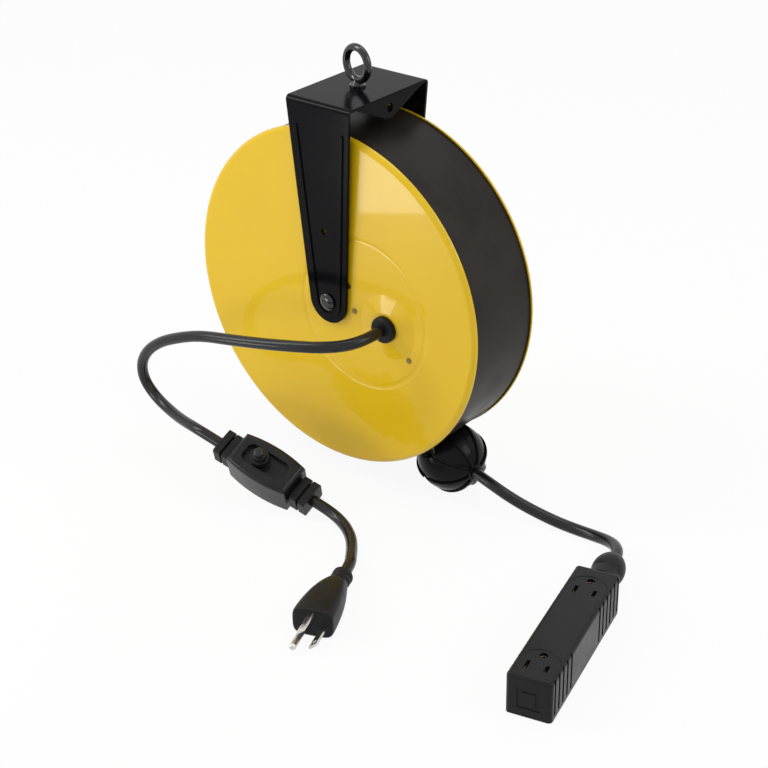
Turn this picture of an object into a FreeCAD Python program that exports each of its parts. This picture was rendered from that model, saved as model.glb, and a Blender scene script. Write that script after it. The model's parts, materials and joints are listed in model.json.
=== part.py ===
"""Retractable extension cord reel: a drum hung from a bracket, its cords and what is on them."""

import FreeCAD, Part
import math
import os

import Sketcher
from FreeCAD import Placement, Rotation, Vector

# Millimetres and degrees. The row's origin is the centre of the hanging eye, +X is the side where
# the outlet cord leaves, +Y is the drum's axis towards the rear cover, +Z is up.
SIZES = {
    # drum
    "drum_radius": 127.0,
    "cover_half": 35.0,
    "sheet": 1.0,
    "rim_bend": 3.7,
    "bead_ring_radius": 55.0,
    "bead_ring_x": 30.0,
    "bead_ring_down": 2.0,
    "bead_ring_wire": 8.0,
    "bead_ring_depth": 0.4,
    "band_inset": 1.4,
    "band_wall": 1.2,
    "band_grip": 1.2,
    # shaft and pivots
    "shaft_radius": 8.0,
    "spigot_radius": 6.0,
    "spigot_proud": 0.6,
    "bolt_thread_radius": 3.0,
    "bolt_thread_length": 14.0,
    "bolt_shoulder_radius": 4.0,
    "bolt_head_radius": 6.3,
    "bolt_head_height": 2.6,
    "bolt_head_edge": 1.0,
    "bolt_crown": 8.0,
    "bolt_recess": 2.5,
    "bolt_play": 0.4,
    "washer_radius": 10.5,
    "pivot_clearance": 0.08,
    # inlet bushing
    "inlet_x": 52.0,
    "inlet_down": 5.7,
    "boss_base_radius": 24.0,
    "boss_top_radius": 11.5,
    "boss_rise": 3.0,
    "bushing_head_radius": 9.7,
    "bushing_head_height": 5.0,
    "bushing_neck_radius": 7.6,
    "bushing_snap": 1.6,
    "rivet_radius": 1.6,
    "rivet_head_radius": 2.0,
    "rivet_head_height": 0.7,
    "rivet_near_x": 17.5,
    "rivet_near_down": -16.0,
    "rivet_mid_x": 22.0,
    "rivet_mid_down": 2.0,
    "rivet_far_x": 70.6,
    "rivet_far_down": 26.0,
    # bracket
    "bracket_headroom": 21.0,
    "bracket_width": 56.4,
    "arm_gap": 0.5,
    "arm_flare": 6.2,
    "bracket_sheet": 2.0,
    "bracket_bend": 3.5,
    "arm_end_radius": 16.5,
    "arm_bead_inset": 4.6,
    "arm_bead_width": 3.0,
    "arm_bead_rise": 1.0,
    "arm_bead_top": 129.0,
    "arm_hole_rise": 54.0,
    "arm_hole_radius": 2.5,
    "flap_half": 37.0,
    "flap_drop": 17.0,
    "flap_tip": 7.0,
    "flap_round": 12.0,
    "flap_hole_drop": 9.3,
    "flap_hole_radius": 3.2,
    # eye bolt
    "eye_rise": 16.0,
    "eye_radius": 11.3,
    "eye_wire": 2.7,
    "eye_yaw": -10.0,
    "eye_collar_radius": 5.6,
    "eye_collar_height": 1.5,
    "eye_neck_radius": 3.6,
    "eye_shank_radius": 4.0,
    "eye_shank_below": 8.0,
    "eye_nut_radius": 7.5,
    "eye_nut_height": 6.4,
    # spool
    "cord_radius": 4.1,
    "core_below": 28.0,
    "core_wall": 2.5,
    "core_half": 21.0,
    "coil_below": 4.8,
    "coil_round": 3.0,
    "flange_clear": 11.0,
    "flange_sheet": 1.2,
    "hub_radius": 14.0,
    "hub_length": 10.0,
    "bushing_wall": 3.0,
    "flange_lap": 6.0,
    "lid_hub_half": 3.0,
    "slip_disc_radius": 58.0,
    "slip_disc_bore": 20.0,
    "slip_disc_thick": 2.4,
    "slip_ring_first": 28.5,
    "slip_ring_pitch": 11.0,
    "slip_ring_half": 2.6,
    "slip_ring_thick": 0.8,
    "brush_gap": 0.1,
    "brush_width": 4.0,
    "brush_angle": 30.0,
    "holder_width": 16.0,
    "holder_inner": 20.0,
    "holder_outer": 62.0,
    "holder_height": 6.0,
    "cup_radius": 60.0,
    "cup_wall": 1.2,
    "cup_depth": 34.0,
    "spring_strip": 0.9,
    "spring_width": 22.0,
    "arbor_radius": 11.5,
    "arbor_play": 0.4,
    "spring_pitch": 4.2,
    # ratchet
    "ratchet_root": 50.0,
    "ratchet_tip": 56.0,
    "ratchet_bore": 30.0,
    "ratchet_thick": 4.0,
    "ratchet_gap": 7.0,
    "ratchet_first_tooth": 42.0,
    "pawl_pivot": 74.0,
    "pawl_arm": 24.0,
    "pawl_rest": 44.0,
    "pawl_tip_radius": 2.0,
    "pawl_eye_radius": 5.5,
    "pawl_pin_radius": 3.0,
    "pawl_pin_head": 1.2,
    # mouth and ball stop
    "ball_radius": 26.3,
    "ball_standoff": 15.5,
    "lead_gap": 0.5,
    "ball_yaw": -11.0,
    "ball_pitch": 5.0,
    "ball_core": 24.9,
    "ball_rib": 1.8,
    "ball_seam": 0.2,
    "ball_gap": 0.3,
    "guide_start": 12.0,
    "guide_end": 48.0,
    "guide_wall": 4.4,
    "guide_proud": 0.4,
    "guide_corner": 5.0,
    "cord_slot_half": 6.0,
    "ball_screw_offset": 12.0,
    "ball_screw_radius": 2.0,
    "ball_screw_head": 3.6,
    "ball_screw_head_height": 2.4,
    "ball_screw_depth": 11.0,
    "ball_seat": 16.5,
    # surface that the loose cords lie on, below the drum's axis
    "floor_drop": 140.0,
    # outlet block
    "block_x": 262.1,
    "block_y": -120.6,
    "block_yaw": 103.79,
    "block_length": 124.0,
    "block_width": 30.0,
    "block_height": 29.5,
    "block_wall": 2.6,
    "block_corner": 2.8,
    "block_base_thick": 3.0,
    "outlet_first": -49.0,
    "outlet_second": 35.0,
    "outlet_disc_radius": 13.0,
    "outlet_disc_depth": 0.3,
    "blade_spacing": 12.7,
    "slot_long": 8.0,
    "slot_short": 6.5,
    "slot_wide": 2.3,
    "ground_offset": 11.9,
    "ground_radius": 2.6,
    "flute_pitch": 7.0,
    "flute_first": 4.0,
    "flute_second": 41.0,
    "flute_width": 2.6,
    "flute_depth": 1.0,
    "end_recess": 15.0,
    "end_recess_depth": 0.6,
    "end_pad_width": 9.0,
    "end_pad_height": 9.0,
    "relief_radius": 10.6,
    "relief_length": 34.0,
    "relief_nose": 6.4,
    "post_radius": 2.4,
    "post_screw": 1.3,
    "strip": 0.8,
    "contact_gap": 0.3,
    # breaker
    "breaker_x": -14.8,
    "breaker_y": -92.7,
    "breaker_yaw": 6.8,
    "breaker_pitch": 15.6,
    "breaker_roll": 25.6,
    "breaker_lift": 13.0,
    "button_x": -4.5,
    "breaker_length": 52.0,
    "breaker_width": 31.0,
    "breaker_bow": 3.0,
    "breaker_height": 27.0,
    "breaker_parting": 10.0,
    "breaker_well_length": 36.0,
    "breaker_well_width": 15.0,
    "breaker_well_depth": 3.5,
    "collar_radius": 6.8,
    "collar_height": 3.0,
    "button_radius": 4.6,
    "button_proud": 3.0,
    "button_cap_radius": 3.6,
    "button_cap_rise": 4.5,
    "button_clearance": 0.1,
    "button_travel": 2.5,
    "button_depth": 14.0,
    "breaker_round": 4.0,
    "grommet_width": 21.0,
    "grommet_height": 16.0,
    "grommet_rib": 5.6,
    "grommet_neck": 1.9,
    "cord_height": 11.0,
    # plug
    "plug_x": 102.5,
    "plug_y": -146.5,
    "plug_yaw": -69.5,
    "plug_length": 58.0,
    "plug_width": 28.4,
    "plug_thick": 21.5,
    "plug_axis": 9.5,
    "prong_roll": 45.0,
    "blade_offset": 4.0,
    "plug_collar_radius": 7.2,
    "plug_collar_length": 4.5,
    "plug_neck_radius": 6.2,
    "blade_length": 18.0,
    "blade_width": 6.35,
    "blade_thick": 1.5,
    "pin_radius": 2.4,
    "pin_length": 21.0,
    "pin_offset": 11.9,
}

ALONG_AXIS = Rotation(Vector(1, 0, 0), -90)
LEVEL = Rotation()

doc = FreeCAD.newDocument("cord_reel")
sheet = doc.addObject("Spreadsheet::Sheet", "Sizes")
for row, (alias, number) in enumerate(SIZES.items(), start=1):
    sheet.set(f"A{row}", alias)
    sheet.set(f"B{row}", str(number))
    sheet.setAlias(f"B{row}", alias)
doc.recompute()


def number_of(size):
    """The plain number of a size or of a number."""
    return size.number if isinstance(size, Size) else float(size)


def text_of(size):
    """The spreadsheet expression of a size or of a number."""
    return size.text if isinstance(size, Size) else f"({float(size)!r})"


class Size:
    """A length or angle: its number, and the spreadsheet expression that gives it."""

    def __init__(self, number, text):
        self.number = number
        self.text = text

    def __add__(self, other):
        return Size(self.number + number_of(other), f"({self.text} + {text_of(other)})")

    def __radd__(self, other):
        return self + other

    def __sub__(self, other):
        return Size(self.number - number_of(other), f"({self.text} - {text_of(other)})")

    def __rsub__(self, other):
        return Size(number_of(other) - self.number, f"({text_of(other)} - {self.text})")

    def __mul__(self, other):
        return Size(self.number * number_of(other), f"({self.text} * {text_of(other)})")

    def __rmul__(self, other):
        return self * other

    def __truediv__(self, other):
        return Size(self.number / number_of(other), f"({self.text} / {text_of(other)})")

    def __neg__(self):
        return Size(-self.number, f"(0 - {self.text})")

    def __float__(self):
        return self.number


def root(size):
    """Square root of a size."""
    return Size(math.sqrt(number_of(size)), f"sqrt({text_of(size)})")


def cosine(size):
    """Cosine of an angle in degrees."""
    return Size(math.cos(math.radians(number_of(size))), f"cos({text_of(size)})")


def sine(size):
    """Sine of an angle in degrees."""
    return Size(math.sin(math.radians(number_of(size))), f"sin({text_of(size)})")


class Table:
    """The spreadsheet's sizes by name."""

    def __getattr__(self, alias):
        return Size(float(sheet.get(alias)), f"Sizes.{alias}")


S = Table()
PLATE_RISE = S.drum_radius + S.bracket_headroom
ARM_SEAT = S.cover_half + S.spigot_proud + S.arm_gap
PLATE_HALF = ARM_SEAT + S.arm_flare
FLANGE_RADIUS = S.drum_radius - S.flange_clear
COIL_RADIUS = FLANGE_RADIUS - S.coil_below
CORE_RADIUS = FLANGE_RADIUS - S.core_below
GUIDE_RADIUS = S.drum_radius - S.band_inset + S.guide_proud
BALL_DISTANCE = GUIDE_RADIUS + S.ball_standoff
BALL_DOWN = COIL_RADIUS + S.cord_radius + S.lead_gap
BALL_X = root(BALL_DISTANCE * BALL_DISTANCE - BALL_DOWN * BALL_DOWN)
parts = {}


def bind(item, **sizes):
    """Drive properties of a document object from the spreadsheet."""
    for name, size in sizes.items():
        setattr(item, name, number_of(size))
        item.setExpression(name, text_of(size))
    return item


def seat(item, x=0, y=0, z=0, turn=LEVEL, spin=None):
    """Place an object; spin is an angle about Z that the sheet drives."""
    item.Placement = Placement(Vector(number_of(x), number_of(y), number_of(z)), turn)
    for name, size in (("x", x), ("y", y), ("z", z)):
        if isinstance(size, Size):
            item.setExpression(f"Placement.Base.{name}", size.text)
    if spin is not None:
        item.Placement.Rotation = Rotation(Vector(0, 0, 1), number_of(spin))
        item.setExpression("Placement.Rotation.Angle", text_of(spin))
    return item


def sub_part(name, item, x=0, y=0, z=0, turn=LEVEL, spin=None):
    """Name a sub-part, place it in the row's frame and keep it for the export."""
    item.Label = name
    parts[name] = seat(item, x, y, z, turn, spin)
    return item


# ---- sketches and PartDesign features ----

def new_body(name):
    """An empty PartDesign body."""
    return doc.addObject("PartDesign::Body", f"{name}_body")


def new_sketch(body, name, role, lift=0):
    """A sketch on one of the body's own origin planes, lifted along the plane's normal."""
    sketch = body.newObject("Sketcher::SketchObject", name)
    plane = [item for item in body.Origin.OriginFeatures if item.Role == role][0]
    sketch.AttachmentSupport = (plane, [""])
    sketch.MapMode = "FlatFace"
    sketch.AttachmentOffset = Placement(Vector(0, 0, number_of(lift)), LEVEL)
    if isinstance(lift, Size):
        sketch.setExpression("AttachmentOffset.Base.z", lift.text)
    return sketch


def drive(sketch, kind, item, size, point=None):
    """Add one driven constraint to a sketch."""
    value = number_of(size)
    where = (item,) if point is None else (item, point)
    index = sketch.addConstraint(Sketcher.Constraint(kind, *where, value))
    if isinstance(size, Size):
        sketch.setExpression(f"Constraints[{index}]", size.text)


def hold_point(sketch, item, point, x, y):
    """Hold a sketch point at a place that the sheet drives."""
    drive(sketch, "DistanceX", item, x, point)
    drive(sketch, "DistanceY", item, y, point)


def arc_between(start, end, radius):
    """The short arc from start to end; a positive radius bulges to the right of the way."""
    chord = end - start
    half = chord.Length / 2
    reach = math.sqrt(max(radius * radius - half * half, 0.0))
    left = Vector(-chord.y, chord.x, 0).normalize()
    side = 1 if radius > 0 else -1
    centre = (start + end) / 2 + left * reach * side
    first, last = (start, end) if radius > 0 else (end, start)
    angles = [math.atan2(point.y - centre.y, point.x - centre.x) for point in (first, last)]
    circle = Part.Circle(centre, Vector(0, 0, 1), abs(radius))
    return Part.ArcOfCircle(circle, angles[0], angles[1])


def outline(sketch, corners):
    """Draw a closed outline. A corner is (x, y), or (x, y, radius) where an arc leaves it."""
    first_side = sketch.GeometryCount
    count = len(corners)
    ends = []
    for place, corner in enumerate(corners):
        following = corners[(place + 1) % count]
        start = Vector(number_of(corner[0]), number_of(corner[1]), 0)
        end = Vector(number_of(following[0]), number_of(following[1]), 0)
        if len(corner) == 2:
            sketch.addGeometry(Part.LineSegment(start, end))
            ends.append((1, 2))
        else:
            sketch.addGeometry(arc_between(start, end, number_of(corner[2])))
            ends.append((1, 2) if number_of(corner[2]) > 0 else (2, 1))
    for place in range(count):
        following = (place + 1) % count
        link = (first_side + place, ends[place][1], first_side + following, ends[following][0])
        sketch.addConstraint(Sketcher.Constraint("Coincident", *link))
    for place, corner in enumerate(corners):
        hold_point(sketch, first_side + place, ends[place][0], corner[0], corner[1])
        if len(corner) == 3:
            radius = corner[2] if number_of(corner[2]) > 0 else -corner[2]
            drive(sketch, "Radius", first_side + place, radius)
    return sketch


def circle(sketch, x, y, radius):
    """Draw one circle."""
    centre = Vector(number_of(x), number_of(y), 0)
    item = sketch.addGeometry(Part.Circle(centre, Vector(0, 0, 1), number_of(radius)))
    drive(sketch, "Radius", item, radius)
    hold_point(sketch, item, 3, x, y)
    return sketch


def rectangle(sketch, left, low, right, high):
    """Draw one rectangle."""
    return outline(sketch, [(left, low), (right, low), (right, high), (left, high)])


def pad(body, sketch, length, both=False, back=False):
    """Raise a sketch into a solid."""
    feature = body.newObject("PartDesign::Pad", f"{sketch.Name}_pad")
    feature.Profile = sketch
    feature.SideType = "Symmetric" if both else "One side"
    feature.Reversed = back
    bind(feature, Length=length)
    doc.recompute()
    return feature


def pocket(body, sketch, depth, both=False, back=False):
    """Cut a sketch into a solid, and check that it cuts."""
    before = body.Shape.Volume
    feature = body.newObject("PartDesign::Pocket", f"{sketch.Name}_pocket")
    feature.Profile = sketch
    feature.SideType = "Symmetric" if both else "One side"
    feature.Reversed = back
    bind(feature, Length=depth)
    doc.recompute()
    if not body.Shape.Volume < before:
        raise RuntimeError(f"{feature.Name} cuts nothing")
    return feature


def turned(name, corners):
    """A body turned about Z from an outline of (radius, height) corners."""
    body = new_body(name)
    sketch = outline(new_sketch(body, f"{name}_section", "XZ_Plane"), corners)
    feature = body.newObject("PartDesign::Revolution", f"{name}_turn")
    feature.Profile = sketch
    feature.ReferenceAxis = (sketch, ["V_Axis"])
    feature.Angle = 360
    doc.recompute()
    return body


def repeat(body, feature, count):
    """Repeat a feature evenly about the body's Z axis."""
    pattern = body.newObject("PartDesign::PolarPattern", f"{feature.Name}_pattern")
    pattern.Originals = [feature]
    axis = [item for item in body.Origin.OriginFeatures if item.Role == "Z_Axis"][0]
    pattern.Axis = (axis, [""])
    pattern.Angle = 360
    pattern.Occurrences = count
    body.Tip = pattern
    doc.recompute()
    return pattern


def repeat_along(body, features, role, pitch, count):
    """Repeat features at a pitch along one of the body's axes."""
    pattern = body.newObject("PartDesign::LinearPattern", f"{features[0].Name}_row")
    pattern.Originals = features
    axis = [item for item in body.Origin.OriginFeatures if item.Role == role][0]
    pattern.Direction = (axis, [""])
    bind(pattern, Length=pitch * (count - 1))
    pattern.Occurrences = count
    body.Tip = pattern
    doc.recompute()
    return pattern


# ---- Part primitives and booleans ----

def cylinder(name, radius, height, x=0, y=0, z=0, turn=LEVEL, angle=360, spin=None):
    """A cylinder, or a sector of one, standing on (x, y, z)."""
    item = doc.addObject("Part::Cylinder", name)
    bind(item, Radius=radius, Height=height, Angle=angle)
    return seat(item, x, y, z, turn, spin)


def block(name, length, width, height, x=0, y=0, z=0, spin=None):
    """A box with its lowest corner at (x, y, z)."""
    item = doc.addObject("Part::Box", name)
    bind(item, Length=length, Width=width, Height=height)
    return seat(item, x, y, z, LEVEL, spin)


def cone(name, low_radius, high_radius, height, x=0, y=0, z=0, turn=LEVEL):
    """A cone standing on (x, y, z)."""
    item = doc.addObject("Part::Cone", name)
    bind(item, Radius1=low_radius, Radius2=high_radius, Height=height)
    return seat(item, x, y, z, turn)


def cut(name, base, tool):
    """What is left of base outside tool."""
    item = doc.addObject("Part::Cut", name)
    item.Base = base
    item.Tool = tool
    return item


def common(name, first, second):
    """What two shapes share."""
    item = doc.addObject("Part::Common", name)
    item.Base = first
    item.Tool = second
    return item


def join(name, items):
    """Several shapes as one solid."""
    item = doc.addObject("Part::MultiFuse", name)
    item.Shapes = items
    item.Refine = True
    return item


def group(name, items):
    """Several separate solids in one sub-part."""
    item = doc.addObject("Part::Compound", name)
    item.Links = items
    return item


def round_edges(name, base, radius, chosen):
    """Round the edges of base that chosen picks."""
    doc.recompute()
    item = doc.addObject("Part::Fillet", name)
    item.Base = base
    value = number_of(radius)
    item.Edges = [(n, value, value) for n, edge in enumerate(base.Shape.Edges, start=1) if chosen(edge)]
    return item


def is_upright(edge):
    """Whether a straight edge runs along Z."""
    straight = edge.Curve.TypeId == "Part::GeomLine"
    return straight and abs(edge.tangentAt(edge.FirstParameter).z) > 0.999


# ---- cords ----

def cord(name, route, radius):
    """A tube along straight runs joined by tangent arcs, as large as the runs allow."""
    points = [Vector(*point) for point in route]
    edges = []
    radii = []
    last = points[0]
    for before, corner, after in zip(points, points[1:], points[2:]):
        incoming = (corner - before).normalize()
        outgoing = (after - corner).normalize()
        half_turn = incoming.getAngle(outgoing) / 2
        reach = 0.45 * min(before.distanceToPoint(corner), corner.distanceToPoint(after))
        bend = reach / math.tan(half_turn)
        centre = corner + (outgoing - incoming).normalize() * (bend / math.cos(half_turn))
        middle = centre + (corner - centre).normalize() * bend
        start = corner - incoming * reach
        end = corner + outgoing * reach
        edges.append(Part.LineSegment(last, start).toShape())
        edges.append(Part.Arc(start, middle, end).toShape())
        radii.append(bend)
        last = end
    edges.append(Part.LineSegment(last, points[-1]).toShape())
    path = Part.Wire(edges)
    direction = (points[1] - points[0]).normalize()
    section = Part.Wire([Part.Circle(points[0], direction, number_of(radius)).toShape()])
    solid = path.makePipeShell([section], True, True)
    expected = math.pi * number_of(radius) ** 2 * path.Length
    print(f"{name}: length {path.Length:.0f}, tightest bend {min(radii):.0f},"
          f" volume {solid.Volume:.0f} of {expected:.0f}")
    item = doc.addObject("Part::Feature", name)
    item.Shape = solid
    return item


# ---- drum ----

DRUM = {"z": -(S.eye_rise + PLATE_RISE), "turn": ALONG_AXIS}
UPRIGHT = {"z": -(S.eye_rise + PLATE_RISE)}


def cover_section(side):
    """A pressed dish: face, rounded corner and short rim; side is -1 for the front."""
    inner_bend = S.rim_bend - S.sheet
    rim = S.cover_half - S.rim_bend
    bend_start = S.drum_radius - S.rim_bend
    return [
        (S.spigot_radius, side * (S.cover_half - S.sheet)),
        (bend_start, side * (S.cover_half - S.sheet), side * -inner_bend),
        (S.drum_radius - S.sheet, side * rim),
        (S.drum_radius, side * rim, side * S.rim_bend),
        (bend_start, side * S.cover_half),
        (S.spigot_radius, side * S.cover_half),
    ]


def make_covers():
    """The two painted discs; the front one has the inlet boss and the rivet holes."""
    front = turned("front_dish", cover_section(-1))
    flip = Rotation(Vector(1, 0, 0), 180)
    where = {"x": S.inlet_x, "y": S.inlet_down}
    boss = cone("inlet_boss", S.boss_base_radius, S.boss_top_radius, S.boss_rise,
                z=-S.cover_half, turn=flip, **where)
    hollow = cone("inlet_boss_hollow", S.boss_base_radius - S.sheet, S.boss_top_radius - S.sheet,
                  S.boss_rise, z=-(S.cover_half - S.sheet), turn=flip, **where)
    neck_hole = cylinder("inlet_hole", S.bushing_neck_radius, S.boss_rise + 2 * S.sheet,
                         z=-(S.cover_half + S.boss_rise + S.sheet / 2), **where)
    ring = doc.addObject("Part::Torus", "bead_ring")
    bind(ring, Radius1=S.bead_ring_radius, Radius2=S.bead_ring_wire)
    seat(ring, S.bead_ring_x, S.bead_ring_down,
         -(S.cover_half + S.bead_ring_wire - S.bead_ring_depth))
    tools = [hollow, neck_hole, ring]
    for count, (x, down) in enumerate(RIVETS, start=1):
        tools.append(cylinder(f"rivet_hole_{count}", S.rivet_radius, 3 * S.sheet,
                              x=x, y=down, z=-(S.cover_half + S.sheet)))
    whole = join("front_cover_whole", [front, boss])
    sub_part("front_cover", cut("front_cover", whole, join("front_cover_cuts", tools)), **DRUM)
    sub_part("rear_cover", turned("rear_cover", cover_section(1)), **DRUM)


# places of the cover rivets: across, and down from the axis
RIVETS = [(S.rivet_near_x, S.rivet_near_down), (S.rivet_mid_x, S.rivet_mid_down),
          (S.rivet_far_x, S.rivet_far_down)]


def make_cover_rivets():
    """Three small rivets through the front cover."""
    rivets = []
    for count, (x, down) in enumerate(RIVETS, start=1):
        head = cylinder(f"rivet_head_{count}", S.rivet_head_radius, S.rivet_head_height,
                        x=x, y=down, z=-(S.cover_half + S.rivet_head_height))
        shank = cylinder(f"rivet_shank_{count}", S.rivet_radius, S.sheet, x=x, y=down, z=-S.cover_half)
        rivets.append(join(f"rivet_{count}", [head, shank]))
    sub_part("cover_rivets", group("cover_rivets", rivets), **DRUM)


def band_outer():
    """Outer radius of the rim band."""
    return S.drum_radius - S.band_inset


def band_half():
    """Half width of the rim band, which reaches a little way inside the covers' rims."""
    return S.cover_half - S.rim_bend + S.band_grip


def make_rim():
    """The strip round the drum, and the moulded guide that closes it where the cord leaves."""
    outer = cylinder("band_outside", band_outer(), 2 * band_half(), z=-band_half(),
                     angle=360 - (S.guide_end - S.guide_start), spin=90 - S.guide_start)
    inner = cylinder("band_inside", band_outer() - S.band_wall, 2 * band_half() + 2, z=-(band_half() + 1))
    sub_part("rim_band", cut("rim_band", outer, inner), **DRUM)

    guide_outer = GUIDE_RADIUS
    rim_half = S.cover_half - S.rim_bend - 0.1
    sector = cylinder("guide_outside", guide_outer, 2 * rim_half, z=-rim_half,
                      angle=S.guide_end - S.guide_start, spin=90 - S.guide_end)
    hollow = cylinder("guide_inside", guide_outer - S.guide_wall, 2 * rim_half + 2, z=-(rim_half + 1))
    section = root(S.ball_radius * S.ball_radius - S.ball_standoff * S.ball_standoff)
    half = section + S.ball_gap
    # the seat's pocket stands on the radius through the ball; the cord's slot opens towards the tangent
    turn = Placement(Vector(0, 0, 0), Rotation(Vector(0, 0, 1), math.degrees(
        math.atan2(number_of(BALL_DOWN), number_of(BALL_X)))))
    pocket_body = new_body("guide_mouth")
    mouth = rectangle(new_sketch(pocket_body, "mouth_outline", "YZ_Plane", guide_outer - 20),
                      -half, -half, half, half)
    pad(pocket_body, mouth, 40)
    mouth_round = round_edges("mouth_rounded", pocket_body, S.guide_corner, is_along_x)
    mouth_round.Placement = turn
    slot = block("cord_slot", 40, BALL_DOWN, 2 * S.cord_slot_half,
                 x=20, y=BALL_DOWN - 20, z=-S.cord_slot_half)
    slot.setExpression("Width", text_of(20 + S.cord_slot_half))
    cuts = join("guide_cuts", [hollow, mouth_round, slot])
    sub_part("cord_guide", cut("cord_guide", sector, cuts), **DRUM)


def is_along_x(edge):
    """Whether a straight edge runs along X."""
    straight = edge.Curve.TypeId == "Part::GeomLine"
    return straight and abs(edge.tangentAt(edge.FirstParameter).x) > 0.999


# ---- shaft, pivots, inlet ----

def make_shaft():
    """The fixed shaft, its two pivot bolts and the washers that the arms bear on."""
    half = S.cover_half - S.sheet
    end = S.cover_half + S.spigot_proud
    depth = S.bolt_thread_length + 1
    bore = S.bolt_thread_radius
    shaft = turned("center_shaft", [
        (0, -(end - depth)), (bore, -(end - depth)), (bore, -end), (S.spigot_radius, -end),
        (S.spigot_radius, -half), (S.shaft_radius, -half), (S.shaft_radius, half),
        (S.spigot_radius, half), (S.spigot_radius, end), (bore, end), (bore, end - depth),
        (0, end - depth),
    ])
    sub_part("center_shaft", shaft, **DRUM)

    arm_face = ARM_SEAT + S.bracket_sheet + S.bolt_play
    bolts = []
    for side, turn in ((1, LEVEL), (-1, Rotation(Vector(1, 0, 0), 180))):
        label = "rear" if side > 0 else "front"
        bolt = turned(f"{label}_bolt", [
            (0, end - S.bolt_thread_length), (S.bolt_thread_radius, end - S.bolt_thread_length),
            (S.bolt_thread_radius, end), (S.bolt_shoulder_radius, end),
            (S.bolt_shoulder_radius, arm_face), (S.bolt_head_radius, arm_face),
            (S.bolt_head_radius, arm_face + S.bolt_head_edge, S.bolt_crown),
            (S.bolt_recess, arm_face + S.bolt_head_height),
            (0, arm_face + S.bolt_head_height),
        ])
        bolts.append(seat(bolt, turn=turn))
    sub_part("pivot_bolts", group("pivot_bolts", bolts), **DRUM)

    washers = []
    for side in (-1, 1):
        label = "rear" if side > 0 else "front"
        low = S.cover_half if side > 0 else -(S.cover_half + S.spigot_proud)
        outer = cylinder(f"{label}_washer_outside", S.washer_radius, S.spigot_proud, z=low)
        inner = cylinder(f"{label}_washer_inside", S.spigot_radius, S.spigot_proud, z=low)
        washers.append(cut(f"{label}_washer", outer, inner))
    sub_part("pivot_washers", group("pivot_washers", washers), **DRUM)


def make_inlet_bushing():
    """The nylon bushing that holds the inlet cord in the boss."""
    seat_face = S.cover_half + S.boss_rise
    back = seat_face - S.sheet - 0.1
    head = seat_face + S.bushing_head_height
    bushing = turned("inlet_bushing", [
        (0, -(back - 2 * S.bushing_snap)), (S.bushing_neck_radius - 1, -(back - 2 * S.bushing_snap)),
        (S.bushing_neck_radius + S.bushing_snap / 2, -back), (S.bushing_neck_radius, -back),
        (S.bushing_neck_radius, -seat_face), (S.bushing_head_radius, -seat_face),
        (S.bushing_head_radius, -(head - 2.5), -2.5), (S.bushing_head_radius - 2.5, -head),
        (0, -head),
    ])
    sub_part("inlet_bushing", bushing, x=S.inlet_x, y=0, z=DRUM["z"] - S.inlet_down, turn=ALONG_AXIS)


def make_brush_gear():
    """The fixed brush block behind the front cover, and its three brushes."""
    back = -(S.cover_half - S.sheet)
    ring_face = -(S.core_half + S.slip_disc_thick + S.slip_ring_thick)
    holder_low = back
    length = S.holder_outer - S.holder_inner
    body = block("holder_block", length, S.holder_width, S.holder_height,
                 x=S.holder_inner, y=-S.holder_width / 2, z=holder_low)
    tip = ring_face - S.brush_gap
    pockets = []
    brushes = []
    for count in range(3):
        middle = S.slip_ring_first + S.slip_ring_pitch * count
        at = {"x": middle - S.brush_width / 2, "y": -S.brush_width / 2}
        pockets.append(block(f"brush_pocket_{count}", S.brush_width, S.brush_width,
                             S.holder_height, z=holder_low + 2, **at))
        brushes.append(block(f"brush_{count}", S.brush_width, S.brush_width,
                             tip - (holder_low + 2), z=holder_low + 2, **at))
    turn = Rotation(Vector(1, 0, 0), -90) * Rotation(Vector(0, 0, 1), -number_of(S.brush_angle))
    where = {"z": DRUM["z"], "turn": turn}
    sub_part("brush_holder", cut("brush_holder", body, join("brush_pockets", pockets)), **where)
    sub_part("brushes", group("brushes", brushes), **where)


# ---- spool ----

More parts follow.
